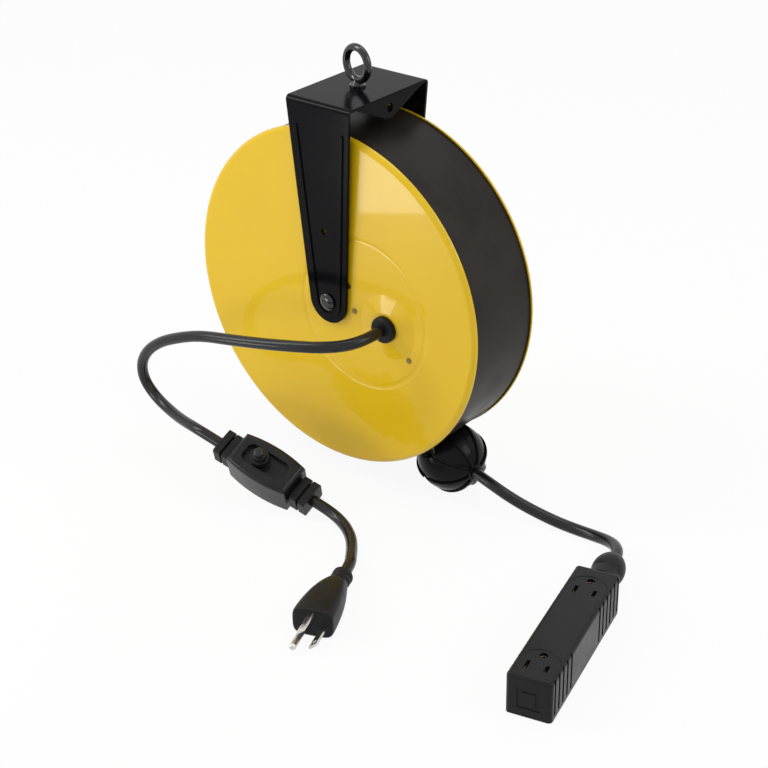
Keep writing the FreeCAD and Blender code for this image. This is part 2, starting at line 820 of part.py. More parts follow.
def make_spool():
    """Everything that turns with the wound cord."""
    hub_bore = S.shaft_radius + S.pivot_clearance + S.bushing_wall
    front = -S.core_half
    core = turned("spool_core", [
        (hub_bore, front), (CORE_RADIUS, front), (CORE_RADIUS, S.core_half),
        (CORE_RADIUS - S.core_wall, S.core_half), (CORE_RADIUS - S.core_wall, front + S.core_wall),
        (S.hub_radius, front + S.core_wall), (S.hub_radius, front + S.hub_length),
        (hub_bore, front + S.hub_length),
    ])
    sub_part("spool_core", core, **DRUM)

    bushings = []
    rim = front + S.core_wall + S.cup_depth
    spans = (("front", front, S.hub_length), ("rear", rim - S.lid_hub_half, 2 * S.lid_hub_half))
    for label, low, length in spans:
        bore = S.shaft_radius + S.pivot_clearance
        outer = cylinder(f"{label}_sleeve_outside", hub_bore, length, z=low)
        inner = cylinder(f"{label}_sleeve_inside", bore, length, z=low)
        bushings.append(cut(f"{label}_sleeve", outer, inner))
    sub_part("spool_bushings", group("spool_bushings", bushings), **DRUM)

    for label, low in (("front", front - S.flange_sheet), ("rear", S.core_half)):
        name = f"spool_flange_{label}"
        flange = turned(name, [
            (CORE_RADIUS - S.flange_lap, low), (FLANGE_RADIUS, low),
            (FLANGE_RADIUS, low + S.flange_sheet),
            (CORE_RADIUS - S.flange_lap, low + S.flange_sheet),
        ])
        sub_part(name, flange, **DRUM)

    rivets = []
    for count in range(6):
        angle = math.radians(60 * count)
        middle = CORE_RADIUS - S.flange_lap / 2
        where = {"x": middle * math.cos(angle), "y": middle * math.sin(angle)}
        rivets.append(cylinder(f"flange_rivet_{count}", 2.5, 1.2,
                               z=front - S.flange_sheet - 1.2, **where))
    sub_part("flange_rivets", group("flange_rivets", rivets), **DRUM)

    coil = turned("wound_cord", [
        (CORE_RADIUS, -S.core_half), (COIL_RADIUS - S.coil_round, -S.core_half, S.coil_round),
        (COIL_RADIUS, -S.core_half + S.coil_round), (COIL_RADIUS, S.core_half - S.coil_round, S.coil_round),
        (COIL_RADIUS - S.coil_round, S.core_half), (CORE_RADIUS, S.core_half),
    ])
    sub_part("wound_cord", coil, **DRUM)


def make_slip_rings():
    """The insulating disc on the front of the spool, and its three brass rings."""
    back = -S.core_half
    face = back - S.slip_disc_thick
    disc = turned("slip_ring_disc", [
        (S.slip_disc_bore, face), (S.slip_disc_radius, face), (S.slip_disc_radius, back),
        (S.slip_disc_bore, back),
    ])
    sub_part("slip_ring_disc", disc, **DRUM)
    rings = []
    for count in range(3):
        middle = S.slip_ring_first + S.slip_ring_pitch * count
        rings.append(turned(f"slip_ring_{count}", [
            (middle - S.slip_ring_half, face - S.slip_ring_thick),
            (middle + S.slip_ring_half, face - S.slip_ring_thick),
            (middle + S.slip_ring_half, face), (middle - S.slip_ring_half, face),
        ]))
    sub_part("slip_rings", group("slip_rings", rings), **DRUM)


def make_power_spring():
    """The cup in the spool, the flat spiral spring that winds the cord in, and the lid."""
    floor = -S.core_half + S.core_wall
    rim = floor + S.cup_depth
    cup = turned("spring_cup", [
        (S.hub_radius, floor), (S.cup_radius, floor), (S.cup_radius, rim),
        (S.cup_radius - S.cup_wall, rim), (S.cup_radius - S.cup_wall, floor + S.cup_wall),
        (S.hub_radius, floor + S.cup_wall),
    ])
    sub_part("spring_cup", cup, **DRUM)
    hub_bore = S.shaft_radius + S.pivot_clearance + S.bushing_wall
    lid = turned("spring_cover", [
        (hub_bore, rim - S.lid_hub_half), (S.hub_radius, rim - S.lid_hub_half), (S.hub_radius, rim),
        (S.cup_radius, rim), (S.cup_radius, rim + S.cup_wall), (S.hub_radius, rim + S.cup_wall),
        (S.hub_radius, rim + S.lid_hub_half), (hub_bore, rim + S.lid_hub_half),
    ])
    sub_part("spring_cover", lid, **DRUM)

    spring_low = -S.core_half + S.hub_length + S.arbor_play
    arbor_length = rim - S.lid_hub_half - S.arbor_play - spring_low
    arbor_outside = cylinder("arbor_outside", S.arbor_radius, arbor_length, z=spring_low)
    arbor_inside = cylinder("arbor_inside", S.shaft_radius, arbor_length, z=spring_low)
    sub_part("spring_arbor", cut("spring_arbor", arbor_outside, arbor_inside), **DRUM)

    low = number_of(spring_low)
    strip = number_of(S.spring_strip)
    pitch = number_of(S.spring_pitch)
    start = number_of(S.arbor_radius) + pitch / 4 + 0.3
    outer_reach = number_of(S.cup_radius - S.cup_wall) - 1.5 * pitch
    halves = int((outer_reach - start) / (pitch / 2))
    inner_side = []
    outer_side = []
    for count in range(halves):
        radius = start + pitch / 2 * count
        centre = -pitch / 4 if count % 2 == 0 else pitch / 4
        side = 1 if count % 2 == 0 else -1
        for rows, reach in ((inner_side, radius), (outer_side, radius + strip)):
            first = Vector(centre + side * reach, 0, low)
            middle = Vector(centre, side * reach, low)
            last = Vector(centre - side * reach, 0, low)
            rows.append(Part.Arc(first, middle, last).toShape())
    start_gap = Part.LineSegment(inner_side[0].Vertexes[0].Point, outer_side[0].Vertexes[0].Point)
    end_gap = Part.LineSegment(inner_side[-1].Vertexes[-1].Point, outer_side[-1].Vertexes[-1].Point)
    edges = inner_side + outer_side + [start_gap.toShape(), end_gap.toShape()]
    face = Part.Face(Part.Wire(Part.__sortEdges__(edges)))
    spring = doc.addObject("Part::Feature", "power_spring")
    spring.Shape = face.extrude(Vector(0, 0, number_of(S.spring_width)))
    sub_part("power_spring", spring, **DRUM)


def make_ratchet():
    """The toothed wheel on the spool, and the pawl on the rear cover that can hold it."""
    lid_top = -S.core_half + S.core_wall + S.cup_depth + S.cup_wall
    base = lid_top + S.ratchet_gap
    body = new_body("ratchet_wheel")
    ring = new_sketch(body, "ratchet_ring", "XY_Plane", base)
    circle(ring, 0, 0, S.ratchet_root)
    circle(ring, 0, 0, S.ratchet_bore)
    pad(body, ring, S.ratchet_thick)
    tooth = new_sketch(body, "ratchet_tooth", "XY_Plane", base)
    outline(tooth, [
        (S.ratchet_root - 2, -5), (S.ratchet_tip, -3), (S.ratchet_tip, 3), (S.ratchet_root - 2, 9),
    ])
    teeth = pad(body, tooth, S.ratchet_thick)
    repeat(body, teeth, 6)
    foot = new_sketch(body, "ratchet_foot", "XY_Plane", lid_top)
    circle(foot, 0, 0, S.ratchet_bore + 6)
    circle(foot, 0, 0, S.ratchet_bore)
    pad(body, foot, S.ratchet_gap)
    turn = ALONG_AXIS * Rotation(Vector(0, 0, 1), -90 - number_of(S.ratchet_first_tooth))
    sub_part("ratchet_wheel", body, z=DRUM["z"], turn=turn)

    pin = cylinder("pawl_pin_shank", S.pawl_pin_radius, S.cover_half - S.sheet - base + S.pawl_pin_head,
                   y=-S.pawl_pivot, z=base - S.pawl_pin_head)
    pin_head = cylinder("pawl_pin_head", S.pawl_eye_radius - 1, S.pawl_pin_head - 0.1,
                        y=-S.pawl_pivot, z=base - S.pawl_pin_head)
    spacer_low = base + S.ratchet_thick + 0.1
    spacer = cylinder("pawl_pin_spacer", S.pawl_eye_radius - 1, S.cover_half - S.sheet - spacer_low,
                      y=-S.pawl_pivot, z=spacer_low)
    sub_part("pawl_pin", join("pawl_pin", [pin_head, pin, spacer]), **DRUM)

    eye = cylinder("pawl_eye", S.pawl_eye_radius, S.ratchet_thick)
    bore = cylinder("pawl_bore", S.pawl_pin_radius + S.pivot_clearance, S.ratchet_thick + 2, z=-1)
    lever_body = new_body("pawl_lever")
    lever = new_sketch(lever_body, "pawl_lever_outline", "XY_Plane")
    outline(lever, [
        (0, -S.pawl_eye_radius), (S.pawl_arm, -S.pawl_tip_radius, S.pawl_tip_radius + 0.001),
        (S.pawl_arm, S.pawl_tip_radius), (0, S.pawl_eye_radius),
    ])
    pad(lever_body, lever, S.ratchet_thick)
    pawl = cut("pawl", join("pawl_blank", [eye, lever_body]), bore)
    turn = ALONG_AXIS * Rotation(Vector(0, 0, 1), 90 + number_of(S.pawl_rest))
    sub_part("pawl", pawl, z=DRUM["z"] + S.pawl_pivot, y=base, turn=turn)


# ---- bracket and eye ----

def extrude(name, sketch, axis, length):
    """A prism along one axis, evenly both ways."""
    item = doc.addObject("Part::Extrusion", name)
    item.Base = sketch
    item.DirMode = "Custom"
    item.Dir = axis
    item.Solid = True
    item.Symmetric = True
    return bind(item, LengthFwd=length)


def strap_corners(proud):
    """The strap's outline across the drum, from the front arm's foot to the rear arm's foot."""
    lean = (PLATE_HALF - S.bracket_sheet - ARM_SEAT) / (PLATE_RISE - S.bracket_sheet)
    foot = S.arm_end_radius + 1
    inner_top = PLATE_HALF - S.bracket_sheet
    inner_foot = ARM_SEAT - lean * foot
    thick = S.bracket_sheet + proud
    bend = S.bracket_bend
    top = PLATE_RISE
    under = PLATE_RISE - S.bracket_sheet
    return [
        (-(inner_foot + thick), -foot), (-(inner_top + thick - bend * lean), top - bend, -bend),
        (-(inner_top + thick - bend), top), (inner_top + thick - bend, top, -bend),
        (inner_top + thick - bend * lean, top - bend), (inner_foot + thick, -foot),
        (inner_foot, -foot), (inner_top, under), (-inner_top, under), (-inner_foot, -foot),
    ]


def make_bracket():
    """The folded strap with its tapered arms, pressed beads, holes and two side flaps."""
    body = new_body("bracket_sketches")
    strap = outline(new_sketch(body, "strap_outline", "YZ_Plane"), strap_corners(0))
    raised = outline(new_sketch(body, "raised_outline", "YZ_Plane"), strap_corners(S.arm_bead_rise))
    half = S.bracket_width / 2
    arm = new_sketch(body, "arm_outline", "XZ_Plane")
    outline(arm, [
        (-S.arm_end_radius, 0, S.arm_end_radius * 1.00001), (S.arm_end_radius, 0),
        (half, PLATE_RISE + 1), (-half, PLATE_RISE + 1),
    ])
    bead = new_sketch(body, "arm_bead_outline", "XZ_Plane")
    inset = S.arm_bead_inset
    width = S.arm_bead_width
    slope = (half - S.arm_end_radius) / (PLATE_RISE + 1)
    reach = slope * S.arm_bead_top
    outer_foot = S.arm_end_radius - inset
    inner_foot = outer_foot - width
    outline(bead, [
        (-outer_foot, 0, outer_foot * 1.00001), (outer_foot, 0), (outer_foot + reach, S.arm_bead_top),
        (inner_foot + reach, S.arm_bead_top), (inner_foot, 0, -(inner_foot * 1.00001)), (-inner_foot, 0),
        (-(inner_foot + reach), S.arm_bead_top), (-(outer_foot + reach), S.arm_bead_top),
    ])
    depth = 4 * PLATE_HALF
    blank = common("bracket_blank", extrude("strap", strap, Vector(1, 0, 0), S.bracket_width),
                   extrude("arm", arm, Vector(0, 1, 0), depth))
    beads = common("bracket_beads", extrude("raised_strap", raised, Vector(1, 0, 0), S.bracket_width),
                   extrude("bead", bead, Vector(0, 1, 0), depth))

    flap = new_sketch(body, "flap_outline", "YZ_Plane")
    top = PLATE_RISE - S.bracket_sheet / 2
    low = PLATE_RISE - S.flap_drop + S.flap_round - root(S.flap_round * S.flap_round - S.flap_tip * S.flap_tip)
    outline(flap, [
        (-S.flap_half, top), (-S.flap_tip, low, S.flap_round), (S.flap_tip, low), (S.flap_half, top),
    ])
    flap_hole = circle(new_sketch(body, "flap_hole_outline", "YZ_Plane"),
                       0, PLATE_RISE - S.flap_hole_drop, S.flap_hole_radius)
    flaps = cut("flaps", extrude("flap_plate", flap, Vector(1, 0, 0), S.bracket_width),
                block("flap_gap", S.bracket_width - 2 * S.bracket_sheet, depth, PLATE_RISE,
                      x=-(half - S.bracket_sheet), y=-depth / 2, z=0))
    holes = join("bracket_holes", [
        extrude("flap_hole", flap_hole, Vector(1, 0, 0), 2 * S.bracket_width),
        cylinder("pivot_hole", S.bolt_shoulder_radius + S.pivot_clearance, depth,
                 y=-depth / 2, turn=ALONG_AXIS),
        cylinder("arm_hole", S.arm_hole_radius, depth,
                 y=-depth / 2, z=S.arm_hole_rise, turn=ALONG_AXIS),
        cylinder("eye_hole", S.eye_shank_radius + S.pivot_clearance, 4 * S.bracket_sheet,
                 z=PLATE_RISE - 2 * S.bracket_sheet),
    ])
    bracket = cut("bracket", join("bracket_whole", [blank, beads, flaps]), holes)
    sub_part("bracket", bracket, **UPRIGHT)


def make_eye():
    """The hanging eye and its nut."""
    plate_top = -S.eye_rise
    ring = doc.addObject("Part::Torus", "eye_ring")
    bind(ring, Radius1=S.eye_radius, Radius2=S.eye_wire)
    seat(ring, turn=Rotation(Vector(1, 0, 0), 90))
    shank_low = plate_top - S.bracket_sheet - S.eye_shank_below
    shank = cylinder("eye_shank", S.eye_shank_radius, plate_top - shank_low, z=shank_low)
    collar = cylinder("eye_collar", S.eye_collar_radius, S.eye_collar_height, z=plate_top)
    neck_low = plate_top + S.eye_collar_height
    neck = cone("eye_neck", S.eye_neck_radius + 1, S.eye_wire, -S.eye_radius - neck_low, z=neck_low)
    sub_part("eye_bolt", join("eye_bolt", [ring, neck, collar, shank]), spin=S.eye_yaw)

    nut = doc.addObject("Part::Prism", "eye_nut_hex")
    nut.Polygon = 6
    bind(nut, Circumradius=S.eye_nut_radius, Height=S.eye_nut_height)
    under = plate_top - S.bracket_sheet
    seat(nut, z=under - 0.2 - S.eye_nut_height)
    bore = cylinder("eye_nut_bore", S.eye_shank_radius, 2 * S.eye_nut_height, z=under - 2 * S.eye_nut_height)
    sub_part("eye_nut", cut("eye_nut", nut, bore), spin=S.eye_yaw)


# ---- ball stop and the pulled cord ----

BALL_TURN = (Rotation(Vector(0, 0, 1), number_of(S.ball_yaw))
             * Rotation(Vector(0, 1, 0), number_of(S.ball_pitch)))


def lead_turn(turn):
    """A turn that lays a cylinder back along the row's X, for a piece placed with that turn."""
    return turn.inverted() * Rotation(Vector(0, 1, 0), -90)


def make_ball():
    """Two ribbed halves screwed together round the cord; local X is the way that the cord leaves."""
    where = {"x": BALL_X, "z": DRUM["z"] - BALL_DOWN, "turn": BALL_TURN}
    across = Rotation(Vector(0, 1, 0), 90)
    for label, side in (("front", -1), ("rear", 1)):
        ball = doc.addObject("Part::Sphere", f"{label}_ball_core")
        bind(ball, Radius=S.ball_core)
        whole = doc.addObject("Part::Sphere", f"{label}_ball_outside")
        bind(whole, Radius=S.ball_radius)
        ribs = []
        for count in range(4):
            turn = Rotation(Vector(1, 0, 0), 22.5 + 45 * count)
            plate = doc.addObject("Part::Box", f"{label}_rib_plate_{count}")
            bind(plate, Length=3 * S.ball_radius, Width=3 * S.ball_radius, Height=S.ball_rib)
            middle = turn.multVec(Vector(-1.5 * number_of(S.ball_radius), -1.5 * number_of(S.ball_radius),
                                         -number_of(S.ball_rib) / 2))
            plate.Placement = Placement(middle, turn)
            ribs.append(plate)
        collar = cylinder(f"{label}_pole_collar", S.cord_radius + 2.4, 2 * S.ball_radius,
                          x=-S.ball_radius, turn=across)
        ribbed = common(f"{label}_ribs", whole, join(f"{label}_rib_plates", ribs + [collar]))
        elbow = doc.addObject("Part::Sphere", f"{label}_cord_elbow")
        bind(elbow, Radius=S.cord_radius)
        away = block(f"{label}_other_half", 4 * S.ball_radius, 2 * S.ball_radius, 4 * S.ball_radius,
                     x=-2 * S.ball_radius, z=-2 * S.ball_radius,
                     y=(S.ball_seam / 2 - 2 * S.ball_radius) if side > 0 else -S.ball_seam / 2)
        tools = [
            cylinder(f"{label}_exit_bore", S.cord_radius, 2 * S.ball_radius, turn=across),
            cylinder(f"{label}_entry_bore", S.cord_radius, 2 * S.ball_radius, turn=lead_turn(BALL_TURN)),
            elbow, away,
        ]
        for end in (-1, 1):
            at = {"y": 0 if side > 0 else -S.ball_radius, "z": end * S.ball_screw_offset}
            deep = S.ball_screw_depth + 1 if side > 0 else S.ball_radius
            tools.append(cylinder(f"{label}_screw_bore_{end + 1}", S.ball_screw_radius, deep,
                                  turn=ALONG_AXIS, **at))
            if side < 0:
                tools.append(cylinder(f"front_screw_seat_{end + 1}", S.ball_screw_head, S.ball_radius,
                                      y=-(S.ball_radius + S.ball_seat), z=end * S.ball_screw_offset,
                                      turn=ALONG_AXIS))
        name = f"ball_half_{label}"
        body = join(f"{label}_ball_whole", [ball, ribbed])
        sub_part(name, cut(name, body, join(f"{label}_ball_cuts", tools)), **where)

    screws = []
    for end in (-1, 1):
        at = {"z": end * S.ball_screw_offset, "turn": ALONG_AXIS}
        top = -(S.ball_seat + S.ball_screw_head_height)
        head = cylinder(f"ball_screw_head_{end + 1}", S.ball_screw_head, S.ball_screw_head_height,
                        y=top, **at)
        shank = cylinder(f"ball_screw_shank_{end + 1}", S.ball_screw_radius,
                         S.ball_screw_depth - top, y=top, **at)
        screws.append(join(f"ball_screw_{end + 1}", [head, shank]))
    sub_part("ball_screws", group("ball_screws", screws), **where)


# ---- outlet block ----

BLOCK = {"x": S.block_x, "y": S.block_y, "z": DRUM["z"] - S.floor_drop, "spin": S.block_yaw}


def is_not_at(height):
    """A test for edges that are not in the plane at a height."""
    level = number_of(height)

    def chosen(edge):
        box = edge.BoundBox
        return not (abs(box.ZMin - level) < 0.01 and abs(box.ZMax - level) < 0.01)

    return chosen


def outlet_tools(count, middle):
    """The cutters of one outlet: its round face, two slots and the ground hole."""
    top = S.block_height
    deep = 2 * S.block_wall
    tools = [cylinder(f"outlet_face_{count}", S.outlet_disc_radius, 5,
                      x=middle + S.ground_offset / 3, z=top - S.outlet_disc_depth)]
    for label, side, long in (("neutral", 1, S.slot_long), ("hot", -1, S.slot_short)):
        tools.append(block(f"slot_{label}_{count}", long, S.slot_wide, 2 * deep, x=middle - long / 2,
                           y=side * S.blade_spacing / 2 - S.slot_wide / 2, z=top - deep))
    tools.append(cylinder(f"ground_{count}", S.ground_radius, 2 * deep,
                          x=middle + S.ground_offset, z=top - deep))
    return tools


def make_outlet_block():
    """The moulded block with two outlets: body, base, contacts, screws and strain relief."""
    half = S.block_length / 2
    wide = S.block_width / 2
    tall = S.block_height - S.block_base_thick
    raw = block("block_outside", S.block_length, S.block_width, tall,
                x=-half, y=-wide, z=S.block_base_thick)
    outside = round_edges("block_rounded", raw, S.block_corner, is_not_at(S.block_base_thick))
    wall = S.block_wall
    tools = [block("block_hollow", S.block_length - 2 * wall, S.block_width - 2 * wall, tall - wall,
                   x=-(half - wall), y=-(wide - wall), z=S.block_base_thick)]
    for count, middle in enumerate((S.outlet_first, S.outlet_second)):
        tools += outlet_tools(count, middle)
    for first, copies in ((-half + S.flute_first, 5), (half - S.flute_second, 6)):
        for count in range(copies):
            for side in (-1, 1):
                low = -wide - 1 if side < 0 else wide - S.flute_depth
                tools.append(block("flute", S.flute_width, S.flute_depth + 1, S.block_height + 1,
                                   x=first + S.flute_pitch * count, y=low))
    frame = block("end_frame", S.end_recess_depth + 1, S.end_recess, S.end_recess,
                  x=-half - 1, y=-S.end_recess / 2, z=S.block_base_thick + 3.0)
    island = block("end_pad", S.end_recess_depth + 1, S.end_pad_width, S.end_pad_height, x=-half - 1,
                   y=-S.end_pad_width / 2, z=S.block_base_thick + 3.0 + (S.end_recess - S.end_pad_height) / 2)
    tools.append(cut("end_groove", frame, island))
    shell = cut("block_shell", outside, join("block_cuts", tools))
    posts = []
    screws = []
    post_x = half - wall - 0.7 * S.post_radius
    for label, side in (("near", -1), ("far", 1)):
        post = cylinder(f"{label}_post", S.post_radius, tall - wall / 2, x=side * post_x, z=S.block_base_thick)
        bore = cylinder(f"{label}_post_bore", S.post_screw, 12, x=side * post_x, z=S.block_base_thick)
        posts.append(cut(f"{label}_post_bored", post, bore))
        shank = cylinder(f"{label}_screw_shank", S.post_screw, S.block_base_thick + 10, x=side * post_x, z=0.2)
        head = cylinder(f"{label}_screw_head", S.post_screw * 1.9, 1.4, x=side * post_x, z=0.2)
        screws.append(join(f"{label}_block_screw", [head, shank]))
    sub_part("block_body", join("block_body", [shell] + posts), **BLOCK)

    plate = block("base_plate", S.block_length, S.block_width, S.block_base_thick, x=-half, y=-wide)
    plate = round_edges("base_rounded", plate, S.block_corner, is_upright)
    bores = []
    for side in (-1, 1):
        bores.append(cylinder("base_bore", S.post_screw, 10, x=side * post_x, z=-1))
        bores.append(cylinder("base_seat", S.post_screw * 1.9, 2.6, x=side * post_x, z=-1))
    sub_part("block_base", cut("block_base", plate, join("base_bores", bores)), **BLOCK)
    sub_part("block_screws", group("block_screws", screws), **BLOCK)

    contacts = []
    low = S.block_base_thick + 5
    rise = S.block_height - S.block_wall - S.contact_gap - low
    for side in (-1, 1):
        middle = side * S.blade_spacing / 2
        leaves = []
        start = S.outlet_first - 6
        length = S.outlet_second - S.outlet_first + 12
        outer_y = middle + side * 1.3 - S.strip / 2
        leaves.append(block("bus_leaf", length, S.strip, rise, x=start, y=outer_y, z=low))
        for outlet in (S.outlet_first, S.outlet_second):
            inner_y = middle - side * 1.3 - S.strip / 2
            leaves.append(block("grip_leaf", 9, S.strip, rise, x=outlet - 4.5, y=inner_y, z=low))
            leaves.append(block("grip_web", 9, 2.6 + S.strip, S.strip, x=outlet - 4.5,
                                y=middle - 1.3 - S.strip / 2, z=low))
        contacts.append(join("bus_bar", leaves))
    ground = [block("ground_strip", S.outlet_second - S.outlet_first + 6, 5, S.strip,
                    x=S.outlet_first + S.ground_offset - 3, y=-2.5, z=low - 2)]
    for outlet in (S.outlet_first, S.outlet_second):
        tube = cylinder("ground_tube", S.ground_radius + S.strip, rise + 2, x=outlet + S.ground_offset,
                        z=low - 2)
        bore = cylinder("ground_tube_bore", S.ground_radius, rise + 1, x=outlet + S.ground_offset, z=low)
        ground.append(cut("ground_socket", tube, bore))
    contacts.append(join("ground_bar", ground))
    sub_part("block_contacts", group("block_contacts", contacts), **BLOCK)

    relief = turned("block_strain_relief", [
        (0, 0), (S.relief_radius + 1, 0), (S.relief_radius + 1, 2.4), (S.relief_radius - 1.4, 2.8),
        (S.relief_radius - 1.4, 4.6), (S.relief_radius, 5.0), (S.relief_radius - 0.4, 14.0, 22.0),
        (S.relief_nose, S.relief_length), (S.cord_radius, S.relief_length),
        (S.cord_radius, S.relief_length - 6), (0, S.relief_length - 6),
    ])
    turn = Rotation(Vector(0, 0, 1), number_of(S.block_yaw)) * Rotation(Vector(0, 1, 0), 90)
    end_x = S.block_x + cosine(S.block_yaw) * half
    end_y = S.block_y + sine(S.block_yaw) * half
    sub_part("block_strain_relief", relief, x=end_x, y=end_y,
             z=BLOCK["z"] + S.block_height / 2, turn=turn)


# ---- breaker ----

BREAKER = {
    "x": S.breaker_x,
    "y": S.breaker_y,
    "z": DRUM["z"] - S.floor_drop + S.breaker_lift,
    "turn": (Rotation(Vector(0, 0, 1), number_of(S.breaker_yaw))
             * Rotation(Vector(0, 1, 0), number_of(S.breaker_pitch))
             * Rotation(Vector(1, 0, 0), number_of(S.breaker_roll))),
}


def breaker_plan(sketch):
    """The case seen from above, with bowed long sides."""
    half = S.breaker_length / 2
    end = S.breaker_width / 2 - S.breaker_bow
    bow = (half * half + S.breaker_bow * S.breaker_bow) / (2 * S.breaker_bow)
    return outline(sketch, [(-half, -end, bow), (half, -end), (half, end, bow), (-half, end)])


def make_breaker():
    """The in-line breaker: two case halves, screws, reset button and cord grommets."""
    lower = new_body("breaker_bottom")
    pad(lower, breaker_plan(new_sketch(lower, "bottom_plan", "XY_Plane")), S.breaker_parting)
    bore = S.post_screw * 1.9
    screw_x = S.breaker_length / 2 - 6
    seats = new_sketch(lower, "screw_seats", "XY_Plane")
    for side in (-1, 1):
        circle(seats, side * screw_x, 0, bore)
    pocket(lower, seats, 2.0, back=True)
    sub_part("breaker_bottom", lower, **BREAKER)
    screws = []
    for side in (-1, 1):
        screws.append(cylinder("breaker_screw_head", bore, 1.6, x=side * screw_x, z=0.4))
    sub_part("breaker_screws", group("breaker_screws", screws), **BREAKER)

    upper = new_body("breaker_top")
    tall = S.breaker_height - S.breaker_parting
    pad(upper, breaker_plan(new_sketch(upper, "top_plan", "XY_Plane", S.breaker_parting)), tall)
    edge_test = is_not_at(S.breaker_parting)
    rounded = round_edges("breaker_top_rounded", upper, S.breaker_round,
                          lambda edge: edge_test(edge) and not is_upright(edge))
    floor = S.breaker_height - S.breaker_well_depth
    well = block("breaker_well", S.breaker_well_length, S.breaker_well_width, 20,
                 x=-S.breaker_well_length / 2, y=-S.breaker_well_width / 2, z=floor)
    well = round_edges("breaker_well_rounded", well, 5.0, is_upright)
    collar_top = S.breaker_height + S.collar_height
    collar = cylinder("breaker_collar", S.collar_radius, collar_top - floor + 1, x=S.button_x, z=floor - 1)
    bore_radius = S.button_radius + S.button_clearance
    shaft = cylinder("button_bore", bore_radius, 40, x=S.button_x, z=S.breaker_height - S.button_depth)
    body = join("breaker_collared", [cut("breaker_welled", rounded, well), collar])
    sub_part("breaker_top", cut("breaker_top", body, shaft), **BREAKER)

    step = collar_top + S.button_proud
    top = step + S.button_cap_rise
    low = S.breaker_height - S.button_depth + S.button_travel + 0.5
    button = turned("reset_button", [
        (0, low), (S.button_radius, low), (S.button_radius, step), (S.button_cap_radius, step),
        (S.button_cap_radius, top - 1.0, 2.0), (S.button_cap_radius - 1.0, top), (0, top),
    ])
    turn = BREAKER["turn"]
    shift = turn.multVec(Vector(number_of(S.button_x), 0, 0))
    sub_part("reset_button", button, BREAKER["x"] + shift.x, BREAKER["y"] + shift.y,
             BREAKER["z"] + shift.z, turn)

    grommets = []
    for side in (-1, 1):
        pieces = []
        reach = S.breaker_length / 2
        for count in range(2):
            neck_high = S.grommet_height - 5
            start = reach + count * (S.grommet_neck + S.grommet_rib)
            neck_x = start if side > 0 else -(start + S.grommet_neck)
            pieces.append(block("grommet_neck", S.grommet_neck, S.grommet_width - 6, neck_high,
                                x=neck_x, y=-(S.grommet_width - 6) / 2, z=S.cord_height - neck_high / 2))
            rib_start = start + S.grommet_neck
            rib_x = rib_start if side > 0 else -(rib_start + S.grommet_rib)
            rib = block("grommet_rib", S.grommet_rib, S.grommet_width, S.grommet_height,
                        x=rib_x, y=-S.grommet_width / 2, z=S.cord_height - S.grommet_height / 2)
            pieces.append(round_edges("grommet_rib_rounded", rib, 2.0, is_along_x))
        grommets.append(join("grommet", pieces))
    sub_part("breaker_grommets", group("breaker_grommets", grommets), **BREAKER)


# ---- plug ----

PLUG = {"x": S.plug_x, "y": S.plug_y, "z": DRUM["z"] - S.floor_drop, "spin": S.plug_yaw}


def plug_section(body):
    """The plug seen from the front: a flat foot, rounded lower corners and sides that lean in."""
    wide = S.plug_width / 2
    tall = S.plug_thick
    return outline(new_sketch(body, "plug_section", "YZ_Plane"), [
        (-(wide - 5), 0), (wide - 5, 0, 7.0), (wide, 6.0, 60.0), (wide - 6.5, tall - 2.5, 10.0),
        (6.5 - wide, tall - 2.5, 60.0), (-wide, 6.0, 7.0),
    ])


